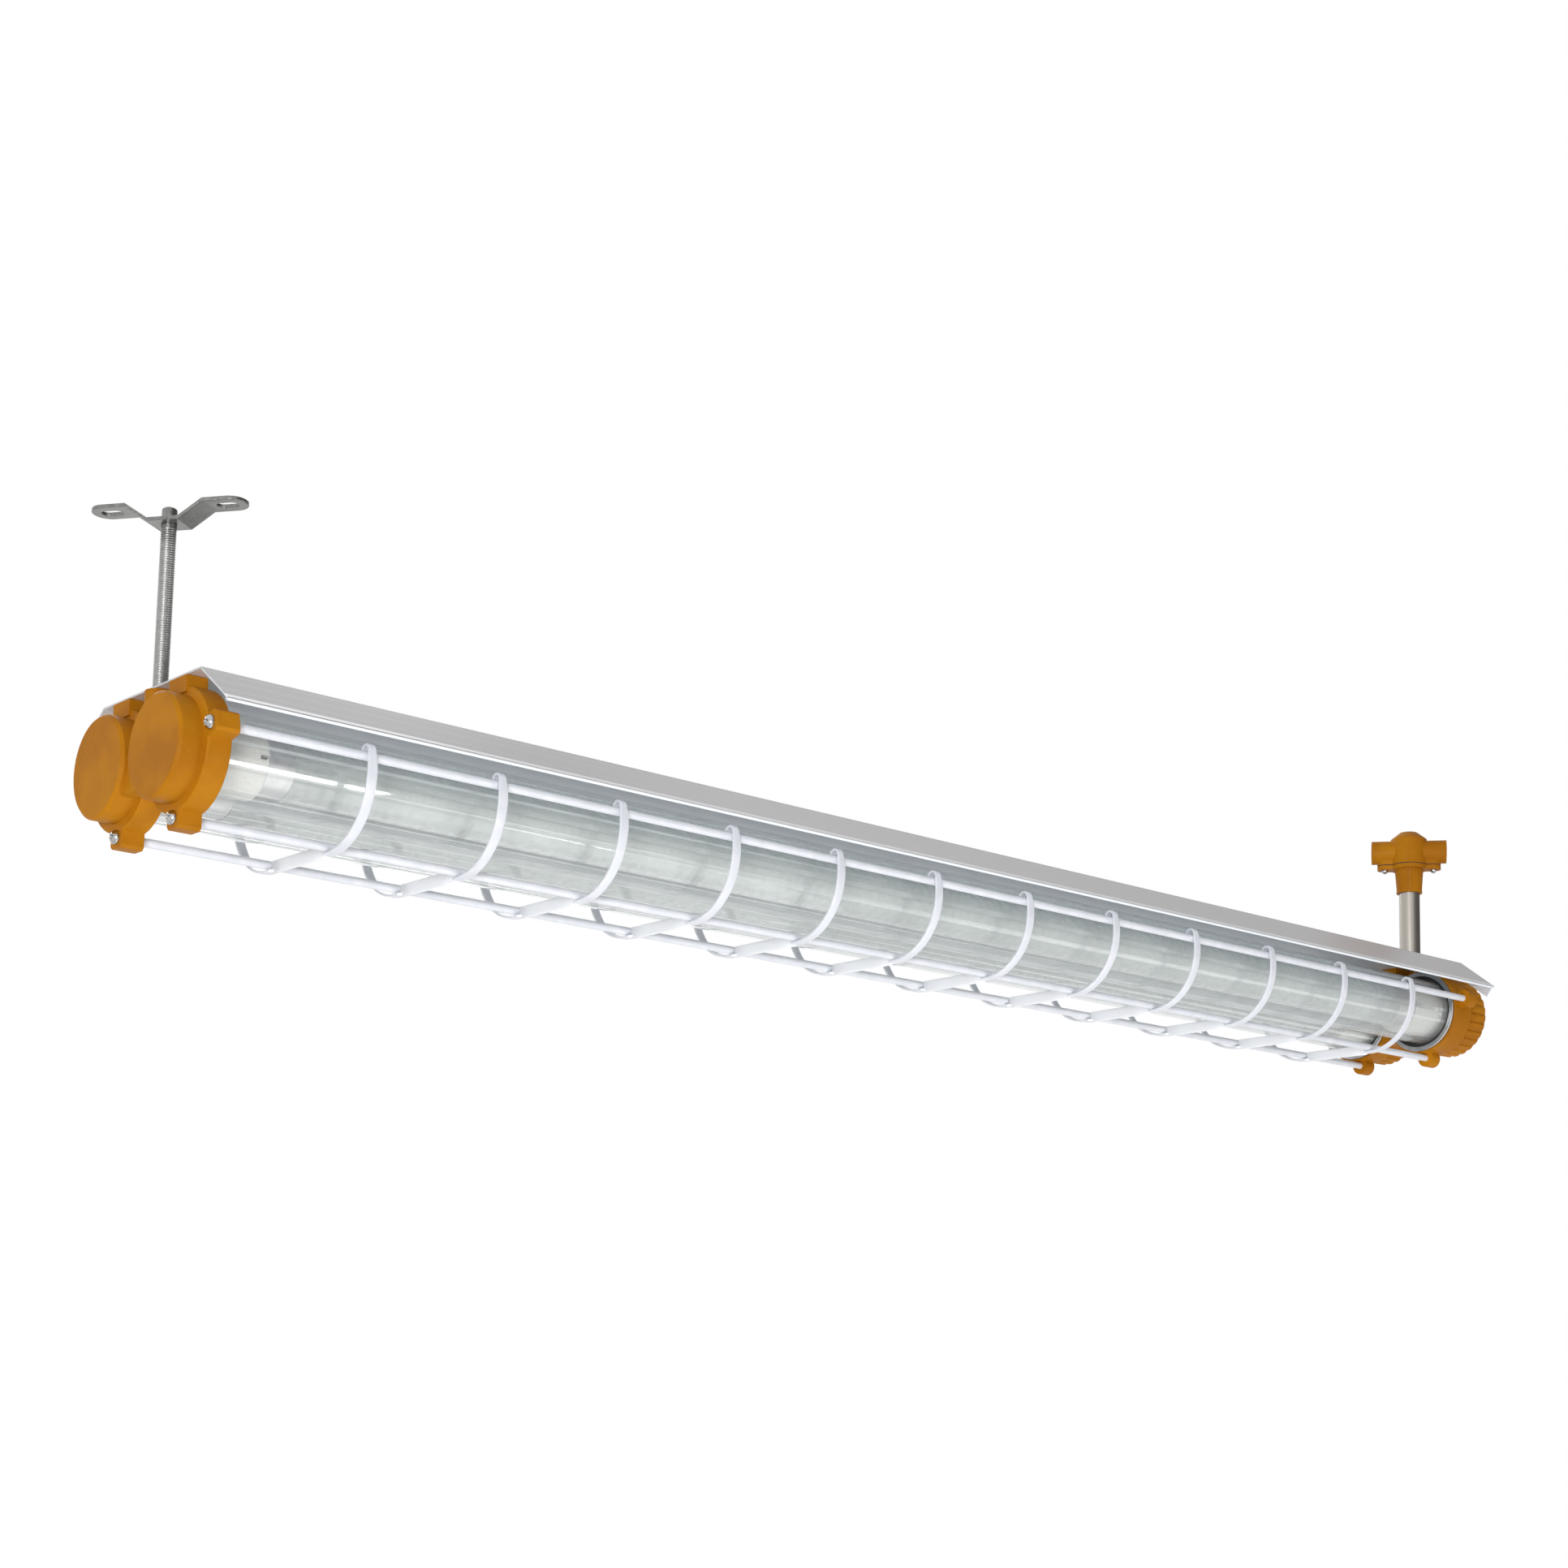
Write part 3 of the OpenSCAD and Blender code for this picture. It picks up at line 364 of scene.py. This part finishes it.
def reflectorSheet(graph):
    # rolled sheet with streaks along X: grey outside, with painted shade on its slopes towards the left
    # end and on top; blue-grey underneath, painted paler there to make up for its shade, and more
    # streaked, the streaks partly grain and partly painted reflections of the tubes; a painted
    # highlight along the hem
    along, height = graph.axes(graph.place())[::2]
    facing = graph.axes(graph.field("ShaderNodeNewGeometry", output="Normal"))[2]
    streak = graph.noise(*sheetMetal["streak"], at=graph.stretched(sheetMetal["stretch"]))
    slope = 1 - facing.step(*sheetMetal["flatEdge"])
    # painted shade on the slopes towards the left end
    unshaded = 1 - (1 - along.step(*sheetMetal["dullAlong"])) * slope
    outer = graph.blend(unshaded, sheetMetal["dull"], sheetMetal["outer"])
    outside = facing.step(*sheetMetal["outsideEdge"])
    # underside: blue-grey, painted paler against its shade
    tone = graph.blend(outside, sheetMetal["under"], outer)
    # painted shade on the flat top
    top = height.step(*sheetMetal["topHeight"]) * sheetMetal["topShare"]
    tone = graph.blend(top, tone, sheetMetal["top"])
    # streaks: grain on top, and underneath mostly painted reflections of the tubes
    share = (1 - outside).above(sheetMetal["streakOver"], sheetMetal["streakUnder"])
    drawn = streak.step(*sheetMetal["streakEdge"]) * share
    tone = graph.blend(drawn, tone, sheetMetal["streakTone"])
    # painted highlight on the hem, between its foot and its top
    hem = height.step(*sheetMetal["hemFoot"]) * (1 - height.step(*sheetMetal["hemTop"]))
    return {
        "Base Color": graph.blend(hem, tone, sheetMetal["hem"]),
        "Metallic": sheetMetal["metallic"],
        "Roughness": streak.above(*sheetMetal["roughness"]),
        "Normal": graph.bump(streak, *sheetMetal["bump"]),
    }


tubeGlass = {
    "tone": (0.92, 0.96, 0.96, 1), "metallic": 0.35, "roughness": 0.03,
    "facing": 0.45, "sharpness": 2.4,  # how the glass thickens towards its outline
    # the line values draw painted reflections along the tube
    "alpha": 0.10, "edgeAlpha": 0.55, "lineAlpha": 0.42,
    "line": (1.0, 1.5, 0.5), "stretch": (0.30, 150.0, 150.0), "lineEdge": (0.60, 0.66),
    "coat": 1.0, "coatRoughness": 0.02, "bump": (0.02, 0.2),
}


def clearGlass(graph):
    # see-through face on, mirror-like at grazing angles, with thin bright lines along X that are
    # painted reflections
    edge = graph.field("ShaderNodeLayerWeight", {}, {"Blend": tubeGlass["facing"]}, "Facing")
    edge = edge ** tubeGlass["sharpness"]
    # painted reflections: thin bright lines along X
    line = graph.noise(*tubeGlass["line"], at=graph.stretched(tubeGlass["stretch"]))
    drawn = tubeGlass["lineAlpha"] * line.step(*tubeGlass["lineEdge"])
    return {
        "Base Color": tubeGlass["tone"],
        "Metallic": tubeGlass["metallic"],
        "Roughness": tubeGlass["roughness"],
        "Alpha": (edge.above(tubeGlass["alpha"], tubeGlass["edgeAlpha"]) + drawn).clamp(),
        "Coat Weight": tubeGlass["coat"],
        "Coat Roughness": tubeGlass["coatRoughness"],
        "Normal": graph.bump(line, *tubeGlass["bump"]),
    }


lampGlass = {
    "phosphor": (0.46, 0.505, 0.485), "shade": (0.31, 0.335, 0.325), "pale": (0.57, 0.625, 0.60),
    "middle": 0.647, "burnEdge": (0.5297, 0.5797), "burnShare": 0.8,  # metres from the lamp's middle
    "powder": (160.0, 3.0), "powderEdge": (0.4, 0.8), "powderShare": 0.2,
    "roughness": (0.2, 0.15), "coat": 0.6, "coatRoughness": 0.05,
}


def lampPhosphor(graph):
    # white powder inside clear glass, greyer towards both ends
    along = graph.axes(graph.place())[0]
    burnt = abs(along - lampGlass["middle"]).step(*lampGlass["burnEdge"]) * lampGlass["burnShare"]
    powder = graph.noise(*lampGlass["powder"])
    pale = powder.step(*lampGlass["powderEdge"]) * lampGlass["powderShare"]
    tone = graph.blend(burnt, lampGlass["phosphor"], lampGlass["shade"])
    return {
        "Base Color": graph.blend(pale, tone, lampGlass["pale"]),
        "Roughness": powder.above(*lampGlass["roughness"]),
        "Coat Weight": lampGlass["coat"],
        "Coat Roughness": lampGlass["coatRoughness"],
    }


zinc = {
    "plate": ((0.21, 0.21, 0.205), (0.28, 0.28, 0.27)),  # darkest and brightest cells
    # the rod tones are a lighter copy of the plate tones: a painted highlight on the rod
    "rod": ((0.31, 0.31, 0.305), (0.38, 0.38, 0.37)),
    "rodTop": (-0.024, -0.020),  # metres, below the bracket
    "cells": 420.0, "fine": (1500.0, 2.0),
    "metallic": 0.95, "roughness": (0.28, 0.08), "bump": (0.05, 0.05),
}


def zincPlate(graph):
    # galvanised steel: cells of slightly different grey; the rod below the bracket is painted brighter
    # than the plate, a painted highlight
    # painted highlight: lighter tone on the rod below the bracket
    onRod = 1 - graph.axes(graph.place())[2].step(*zinc["rodTop"])
    cells = {"Vector": graph.place(), "Scale": zinc["cells"]}
    shade = graph.axes(graph.field("ShaderNodeTexVoronoi", {}, cells, "Color"))[0]
    plate, rod = graph.blend(shade, *zinc["plate"]), graph.blend(shade, *zinc["rod"])
    return {
        "Base Color": graph.blend(onRod, plate, rod),
        "Metallic": zinc["metallic"],
        "Roughness": shade.above(*zinc["roughness"]),
        "Normal": graph.bump(graph.noise(*zinc["fine"]), *zinc["bump"]),
    }


pipeMetal = {
    "tones": ((0.40, 0.37, 0.33), (0.46, 0.43, 0.39)),
    "line": (1.0, 3.0, 0.6), "stretch": (1400.0, 1400.0, 12.0), "lineEdge": (0.35, 0.75),
    "metallic": 1.0, "roughness": (0.26, 0.10), "bump": (0.05, 0.05),
}


def drawnPipe(graph):
    # polished pipe: fine draw lines along Z
    line = graph.noise(*pipeMetal["line"], at=graph.stretched(pipeMetal["stretch"]))
    return {
        "Base Color": graph.blend(line.step(*pipeMetal["lineEdge"]), *pipeMetal["tones"]),
        "Metallic": pipeMetal["metallic"],
        "Roughness": line.above(*pipeMetal["roughness"]),
        "Normal": graph.bump(line, *pipeMetal["bump"]),
    }


plated = {
    "lampCapMetal": {
        "tone": (0.60, 0.60, 0.60), "smudge": (180.0, 3.0),
        "roughness": (0.36, 0.12), "bump": (0.05, 0.1),
    },
    "screwChrome": {
        "tone": (0.50, 0.50, 0.50), "smudge": (90.0, 3.0),
        "roughness": (0.10, 0.12), "bump": (0.01, 0.1),
    },
    "ringSteel": {
        "tone": (0.42, 0.42, 0.43), "smudge": (120.0, 3.0),
        "roughness": (0.26, 0.12), "bump": (0.05, 0.1),
    },
}

smudges = {"edge": (0.45, 0.8), "tone": 0.72}  # the tone is a share of the metal's


def platedMetal(name):
    # plated metal with darker soft smudges
    look = plated[name]

    def build(graph):
        smudge = graph.noise(*look["smudge"])
        dark = tuple(smudges["tone"] * part for part in look["tone"])
        return {
            "Base Color": graph.blend(smudge.step(*smudges["edge"]), look["tone"], dark),
            "Metallic": 1.0,
            "Roughness": smudge.above(*look["roughness"]),
            "Normal": graph.bump(smudge, *look["bump"]),
        }
    return finish(name, build)


moulded = {
    "sealRubber": {
        "dark": (0.015, 0.015, 0.015), "light": (0.035, 0.035, 0.035),
        "speck": (900.0, 4.0, 0.6), "roughness": (0.7, 0.1),
    },
    "wireSleeve": {
        "dark": (0.02, 0.02, 0.02), "light": (0.04, 0.04, 0.045),
        "speck": (600.0, 4.0, 0.6), "roughness": (0.4, 0.1),
    },
    "holderCeramic": {
        "dark": (0.62, 0.62, 0.58), "light": (0.72, 0.72, 0.68),
        "speck": (500.0, 4.0, 0.6), "roughness": (0.3, 0.1),
    },
    "rotorPlastic": {
        "dark": (0.06, 0.06, 0.06), "light": (0.09, 0.09, 0.09),
        "speck": (500.0, 4.0, 0.6), "roughness": (0.35, 0.1),
    },
    "terminalCeramic": {
        "dark": (0.66, 0.66, 0.62), "light": (0.76, 0.76, 0.72),
        "speck": (500.0, 4.0, 0.6), "roughness": (0.3, 0.1),
    },
}

specks = {"edge": (0.35, 0.7), "bump": (0.12, 0.08)}


def mouldedBody(name):
    # moulded or fired body: fine speckle in tone and bump
    look = moulded[name]

    def build(graph):
        speck = graph.noise(*look["speck"])
        return {
            "Base Color": graph.blend(speck.step(*specks["edge"]), look["dark"], look["light"]),
            "Roughness": speck.above(*look["roughness"]),
            "Normal": graph.bump(speck, *specks["bump"]),
        }
    return finish(name, build)


finishes = {
    "ochre_casting": finish("ochrePaint", ochrePaint),
    "guard_coat": finish("guardPaint", guardPaint),
    "reflector_enamel": finish("reflectorSheet", reflectorSheet),
    "clear_glass": finish("clearGlass", clearGlass),
    "lamp_glass": finish("lampPhosphor", lampPhosphor),
    "lamp_metal": platedMetal("lampCapMetal"),
    "chrome_screw": platedMetal("screwChrome"),
    "bright_steel": platedMetal("ringSteel"),
    "zinc_steel": finish("zincPlate", zincPlate),
    "polished_pipe": finish("drawnPipe", drawnPipe),
    "black_rubber": mouldedBody("sealRubber"),
    "wire_sleeve": mouldedBody("wireSleeve"),
    "holder_ceramic": mouldedBody("holderCeramic"),
    "rotor_plastic": mouldedBody("rotorPlastic"),
    "terminal_ceramic": mouldedBody("terminalCeramic"),
}
slotOf = {part["node"]: part["material_slot"] for part in frame["record"]["subparts"]}
bodyNodes = frame["record"]["behaviour"]["bodies"]
bodyOf = {node: body for body, nodes in bodyNodes.items() for node in nodes}
for node, piece in frame["nodes"].items():
    piece.data.materials.clear()
    piece.data.materials.append(finishes[slotOf[node]])
print("finishes made:", len(finishes))

# modelled pieces: their sizes and places are in millimetres and their angles in degrees


def newPiece(name, mesh, node):
    # one finished object that stands for a node and rides on that node's body
    mesh.materials.clear()
    mesh.materials.append(finishes[slotOf[node]])
    piece = bpy.data.objects.new(name, mesh)
    bpy.context.scene.collection.objects.link(piece)
    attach(piece, bodyOf[node])
    return piece


meshCare = {
    "merge": 0.002,  # points nearer than this become one
    "hoopSharp": 50, "rodSharp": 50, "screwSharp": 45,  # past this turn an edge looks sharp
}


def writeMesh(shell, mesh, sharp):
    # the shell goes into the mesh, smooth but for edges that turn by more than sharp degrees
    shell.to_mesh(mesh)
    shell.free()
    mesh.shade_smooth()
    mesh.set_sharp_from_angle(angle=math.radians(sharp))
    return mesh


def gridMesh(name, grid, sharp):
    # skin over grid[i, j]: i runs along, j runs round and closes on itself, both ends are capped
    rows, cols = grid.shape[:2]
    i, j = np.meshgrid(np.arange(rows - 1), np.arange(cols), indexing="ij")
    here, beside = i * cols + j, i * cols + (j + 1) % cols
    faces = np.stack([here, beside, beside + cols, here + cols], -1).reshape(-1, 4).tolist()
    faces += [list(range(cols))[::-1], list(range((rows - 1) * cols, rows * cols))]
    mesh = bpy.data.meshes.new(name)
    mesh.from_pydata((grid * mm).reshape(-1, 3).tolist(), [], faces)
    shell = bmesh.new()
    shell.from_mesh(mesh)
    bmesh.ops.remove_doubles(shell, verts=shell.verts, dist=meshCare["merge"] * mm)
    bmesh.ops.recalc_face_normals(shell, faces=shell.faces)
    return writeMesh(shell, mesh, sharp)


def joinMeshes(name, meshes, sharp):
    # all the meshes' faces in one mesh
    shell = bmesh.new()
    for mesh in meshes:
        shell.from_mesh(mesh)
    return writeMesh(shell, bpy.data.meshes.new(name), sharp)


def pairs(first, second):
    # rows of two coordinates, where a single number is repeated
    return np.stack(np.broadcast_arrays(first, second), -1)


tubes = {
    "y": 37.2, "z": -165.0,  # the two tubes' axes, at -y and y
    "guardReach": 43.0, "guardAngle": 12.0,  # the guard rods' distance from them, the upper ones' tilt
}

hoop = {
    "first": 105.5, "pitch": 100.0, "count": 12,  # along X
    "strip": 7.0, "hookStrip": 5.2, "thick": 2.0,  # width, width at the hook, thickness
    "rodRadius": 3.0, "rodGap": 0.2,
    "inner": 31.2, "innerSteps": 3,  # where the strip starts, below the tube
    "arcSteps": 26, "arcFrom": -90,
    "rise": 3.5, "riseShares": (0.3, 0.65, 1.0),  # the straight stretch up to the hook
    "hookFrom": 15, "hookTo": 180, "hookSteps": 12, "tailShares": (0.5, 0.05),
    "taperLead": 4, "taperSteps": 6,  # how the strip narrows before its hook
    "tipLead": 0.5, "tipSteps": 1.5, "tipShare": 0.35,  # how both tips are drawn in
    "sectionSteps": 20, "squareness": 0.30,
    "barHalf": 33.9, "barBase": -49.2, "barHigh": 9.0,  # half length, foot below the tubes, height
    "barShares": (-1, -0.985, -0.5, 0.5, 0.985, 1),  # stations along the bar
    "barFill": (0.5, 1, 1, 1, 1, 0.5), "barDraw": 0.2,  # width there, and its share in the height
}


def hoopLine():
    # middle line of one strip in the YZ plane: short flat, arc round the tube, straight, and a hook
    # over the rod, which is turned by the upper rods' tilt
    hookRadius = hoop["rodRadius"] + hoop["rodGap"] + hoop["thick"] / 2
    reach = tubes["guardReach"]
    radius = reach + hookRadius
    inner = np.linspace(hoop["inner"], tubes["y"], hoop["innerSteps"], endpoint=False)
    angle = np.radians(np.linspace(hoop["arcFrom"], tubes["guardAngle"], hoop["arcSteps"]))
    arc = pairs(tubes["y"] + radius * np.cos(angle), radius * np.sin(angle))
    turn = np.radians(np.linspace(hoop["hookFrom"], hoop["hookTo"], hoop["hookSteps"]))
    hook = np.concatenate([
        pairs(radius, np.array(hoop["riseShares"]) * hoop["rise"]),
        pairs(reach + hookRadius * np.cos(turn), hoop["rise"] + hookRadius * np.sin(turn)),
        pairs(reach - hookRadius, np.array(hoop["tailShares"]) * hoop["rise"]),
    ])
    tilt = math.radians(tubes["guardAngle"])
    spin = np.array([[math.cos(tilt), math.sin(tilt)], [-math.sin(tilt), math.cos(tilt)]])
    hook = hook @ spin + np.array([tubes["y"], 0])
    return np.concatenate([pairs(inner, -radius), arc, hook]), len(inner) + len(arc)


def roundedSection():
    # rounded section as signed powers of the cosine and sine of the turn
    around = np.radians((np.arange(hoop["sectionSteps"]) + 0.5) * 360 / hoop["sectionSteps"])
    waves = np.cos(around), np.sin(around)
    return [np.sign(wave) * np.abs(wave) ** hoop["squareness"] for wave in waves]


def stripMesh(name, x, side):
    # rounded section carried along the strip's middle line, narrower at the hook, drawn in at both tips
    line, hookStart = hoopLine()
    line = line * [side, 1]
    ahead = np.gradient(line, axis=0)
    ahead /= np.linalg.norm(ahead, axis=1, keepdims=True)
    out = pairs(ahead[:, 1], -ahead[:, 0])
    step = np.arange(len(line))
    narrow = np.clip((step - hookStart + hoop["taperLead"]) / hoop["taperSteps"], 0, 1)
    width = hoop["strip"] + (hoop["hookStrip"] - hoop["strip"]) * narrow
    fromTip = np.minimum(len(line) - 1 - step, step + hoop["tipLead"])
    width = width * np.clip(fromTip / hoop["tipSteps"], hoop["tipShare"], 1)
    across, depth = roundedSection()
    grid = np.empty((len(line), len(across), 3))
    grid[..., 0] = x + width[:, None] / 2 * across
    grid[..., 1:] = line[:, None] + out[:, None] * (depth * hoop["thick"] / 2)[None, :, None]
    grid[..., 2] += tubes["z"]
    return gridMesh(name, grid, meshCare["hoopSharp"])


def crossBarMesh(name, x):
    # the same section stood on edge and carried straight along Y, drawn in at both ends
    along = np.array(hoop["barShares"]) * hoop["barHalf"]
    fill = np.array(hoop["barFill"])[:, None]
    high = hoop["barHigh"] / 2 * (1 - hoop["barDraw"] + hoop["barDraw"] * fill)
    across, depth = roundedSection()
    grid = np.empty((len(along), len(across), 3))
    grid[..., 0] = x + fill * across * hoop["thick"] / 2
    grid[..., 1] = along[:, None]
    grid[..., 2] = tubes["z"] + hoop["barBase"] + hoop["barHigh"] / 2 + high * depth
    return gridMesh(name, grid, meshCare["hoopSharp"])


def hoopMesh(name, x):
    # a strip round each tube and the bar between the two lower rods
    strips = [stripMesh(f"{name}Strip{k}", x, side) for k, side in enumerate((-1, 1))]
    return joinMeshes(name, strips + [crossBarMesh(f"{name}Bar", x)], meshCare["hoopSharp"])


for number in range(1, hoop["count"] + 1):
    node = f"guard_hoop_{number}"
    mesh = hoopMesh(f"guardHoop{number}", hoop["first"] + (number - 1) * hoop["pitch"])
    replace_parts(newPiece(f"guardHoop{number}", mesh, node), node)
print("guard hoops made")

rod = {
    "radius": 5.0, "foot": -137.2, "threadTop": -12.5,
    "depth": 0.32, "pitch": 1.5, "flank": 1.25, "crest": 0.1,  # the thread's wave, before it is clipped
    "runOut": 2.0,  # over which the thread fades out at its top
    "shoulder": -10.3, "neck": 3.9, "headBase": -7.4, "headTop": 0.0, "edge": 0.8,
    "crown": ((0.0, 4.75), (0.7, 4.1), (1.0, 3.0), (1.05, 0.4)),  # heights above the head, radii
    "round": 44, "perTurn": 8,
}


def rodMesh():
    # radius = outside less a rounded triangle wave of height along the axis minus the turn round it
    steps = int((rod["threadTop"] - rod["foot"]) / rod["pitch"] * rod["perTurn"])
    threadZ = np.linspace(rod["foot"], rod["threadTop"], steps)
    head = np.array([
        (rod["shoulder"], rod["radius"]), (rod["shoulder"], rod["neck"]),
        (rod["headBase"], rod["neck"]), (rod["headBase"], rod["radius"]),
        (rod["headTop"] - rod["edge"], rod["radius"]),
        *((rod["headTop"] + rise, radius) for rise, radius in rod["crown"]),
    ])
    turn = np.linspace(0, 2 * np.pi, rod["round"], endpoint=False)
    phase = threadZ[:, None] / rod["pitch"] - turn[None, :] / (2 * np.pi)
    wave = np.abs((phase % 1) - 0.5) * 2
    groove = np.clip(wave * rod["flank"] - rod["crest"], 0, 1) * rod["depth"]
    fade = np.clip((rod["threadTop"] - threadZ) / rod["runOut"], 0, 1)[:, None]
    headRadius, headZ = head[:, 1:], head[:, :1]
    radius = np.concatenate([rod["radius"] - groove * fade, np.repeat(headRadius, rod["round"], 1)])
    height = np.repeat(np.concatenate([threadZ[:, None], headZ]), rod["round"], 1)
    grid = np.stack([radius * np.cos(turn), radius * np.sin(turn), height], -1)
    return gridMesh("threadedRod", grid, meshCare["rodSharp"])


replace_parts(newPiece("threadedRod", rodMesh(), "hanger_rod"), "hanger_rod")
print("threaded rod made")

screwPlaces = {
    "lugFace": -6.1,  # X of the left lugs' outer faces
    "sheetEnds": (0.0, 1302.5), "sheetTop": -117.9,
    "boxMiddle": 1321.5, "boxReach": 22.8, "boxTurn": 51.7,  # the box's axis, and how they lie round it
    "boxFoot": -17.6,
}

screws = {
    "lugScrews": {
        "node": "guard_rod_screws", "ahead": (-1, 0, 0),
        "head": 4.7, "rise": 4.0, "shank": 2.5, "length": 8.0,
    },
    "sheetScrews": {
        "node": "reflector_screws", "ahead": (0, 0, 1),
        "head": 4.0, "rise": 2.6, "shank": 2.0, "length": 6.0,
    },
    "boxScrews": {
        "node": "junction_box_screws", "ahead": (0, 0, -1),
        "head": 3.2, "rise": 3.2, "shank": 1.6, "length": 7.0,
    },
}

screwShape = {
    "round": 48, "rings": (0.02, 0.97, 16),  # first and last as shares of the radius, and how many
    "flatten": 0.96,  # share of a quarter circle that the dome follows
    "slot": 0.13, "slotWall": 0.06, "slotReach": 0.55, "slotEnd": 0.08,  # shares of the head's radius
    "slotDepth": 0.35,  # share of the dome's rise
    "tipLength": 0.5, "tipDraw": 0.4,
}


def screwSeats():
    # lug screws on the guard rods' axes, sheet screws over the tubes, box screws across the box's foot
    place, reach = screwPlaces, tubes["guardReach"]
    tilt, turn = math.radians(tubes["guardAngle"]), math.radians(place["boxTurn"])
    upper = (tubes["y"] + reach * math.cos(tilt), tubes["z"] + reach * math.sin(tilt))
    lower = (tubes["y"], tubes["z"] - reach)
    boxX, boxY = place["boxReach"] * math.cos(turn), place["boxReach"] * math.sin(turn)
    found = {name: [] for name in screws}
    for side in (-1, 1):
        found["lugScrews"] += [(place["lugFace"], side * y, z) for y, z in (upper, lower)]
        found["sheetScrews"] += [(x, side * tubes["y"], place["sheetTop"]) for x in place["sheetEnds"]]
        found["boxScrews"].append((place["boxMiddle"] + side * boxX, -side * boxY, place["boxFoot"]))
    return found


def screwMesh(name, kind, place):
    # dome of revolution with a cross recess: the height drops where either of two narrow bars crosses
    # it, and below it the shank is a cylinder with a drawn-in tip
    shape, head = screwShape, kind["head"]
    turn = np.arange(shape["round"]) * 2 * np.pi / shape["round"]
    circle = pairs(np.cos(turn), np.sin(turn))
    ring = np.concatenate([np.linspace(*shape["rings"]), [1.0, 1.0]])
    flat = ring[:, None, None] * circle * head
    dome = kind["rise"] * np.sqrt(1 - (ring * shape["flatten"]) ** 2)
    dome[-1] = 0.0
    near, farther = np.min(np.abs(flat), -1), np.max(np.abs(flat), -1)
    bar = np.clip((shape["slot"] * head - near) / (shape["slotWall"] * head), 0, 1)
    reach = np.clip((shape["slotReach"] * head - farther) / (shape["slotEnd"] * head), 0, 1)
    height = dome[:, None] - bar * reach * kind["rise"] * shape["slotDepth"]
    shankRadius = kind["shank"] - np.array([0, 0, shape["tipDraw"]])
    shankHeight = np.array([0, shape["tipLength"] - kind["length"], -kind["length"]])
    grid = np.empty((len(ring) + len(shankRadius), len(turn), 3))
    grid[..., :2] = np.concatenate([flat, shankRadius[:, None, None] * circle])
    grid[..., 2] = np.concatenate([height, np.repeat(shankHeight[:, None], len(turn), 1)])
    aim = Vector(kind["ahead"]).to_track_quat("Z", "Y").to_matrix()
    return gridMesh(name, grid @ np.array(aim).T + np.array(place), meshCare["screwSharp"])


seats = screwSeats()
for name, kind in screws.items():
    parts = [screwMesh(f"{name}{k}", kind, place) for k, place in enumerate(seats[name])]
    whole = joinMeshes(name, parts, meshCare["screwSharp"])
    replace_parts(newPiece(name, whole, kind["node"]), kind["node"])
print("screws made")

casts = {
    "leftHousing": ("left_housing", 0.9), "rightHousing": ("right_housing", 0.9),  # edge radii
    "frontEndCap": ("front_end_cap", 0.5), "backEndCap": ("back_end_cap", 0.5),
    "boxBody": ("junction_box_body", 0.7), "boxBase": ("junction_box_base", 0.7),
    "hangerStrap": ("hanger_bracket", 0.5),
}

castEdge = {
    "merge": 0.005, "flat": 0.6,  # points this near and faces this flat become one
    "sharp": 35, "segments": 3,  # past this turn an edge is rounded
}


def roundedCopy(name, node, radius):
    # the node's own solid with its sharp edges rounded, as a casting leaves the mould
    shell = bmesh.new()
    shell.from_mesh(frame["nodes"][node].data)
    bmesh.ops.remove_doubles(shell, verts=shell.verts, dist=castEdge["merge"] * mm)
    flat = math.radians(castEdge["flat"])
    bmesh.ops.dissolve_limit(shell, angle_limit=flat, verts=shell.verts, edges=shell.edges)
    piece = newPiece(name, writeMesh(shell, bpy.data.meshes.new(name), castEdge["sharp"]), node)
    bevel = piece.modifiers.new("castEdge", "BEVEL")
    bevel.width = radius * mm
    bevel.segments = castEdge["segments"]
    bevel.limit_method = "ANGLE"
    bevel.angle_limit = math.radians(castEdge["sharp"])
    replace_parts(piece, node)


for name, (node, radius) in casts.items():
    roundedCopy(name, node, radius)
print("castings made")
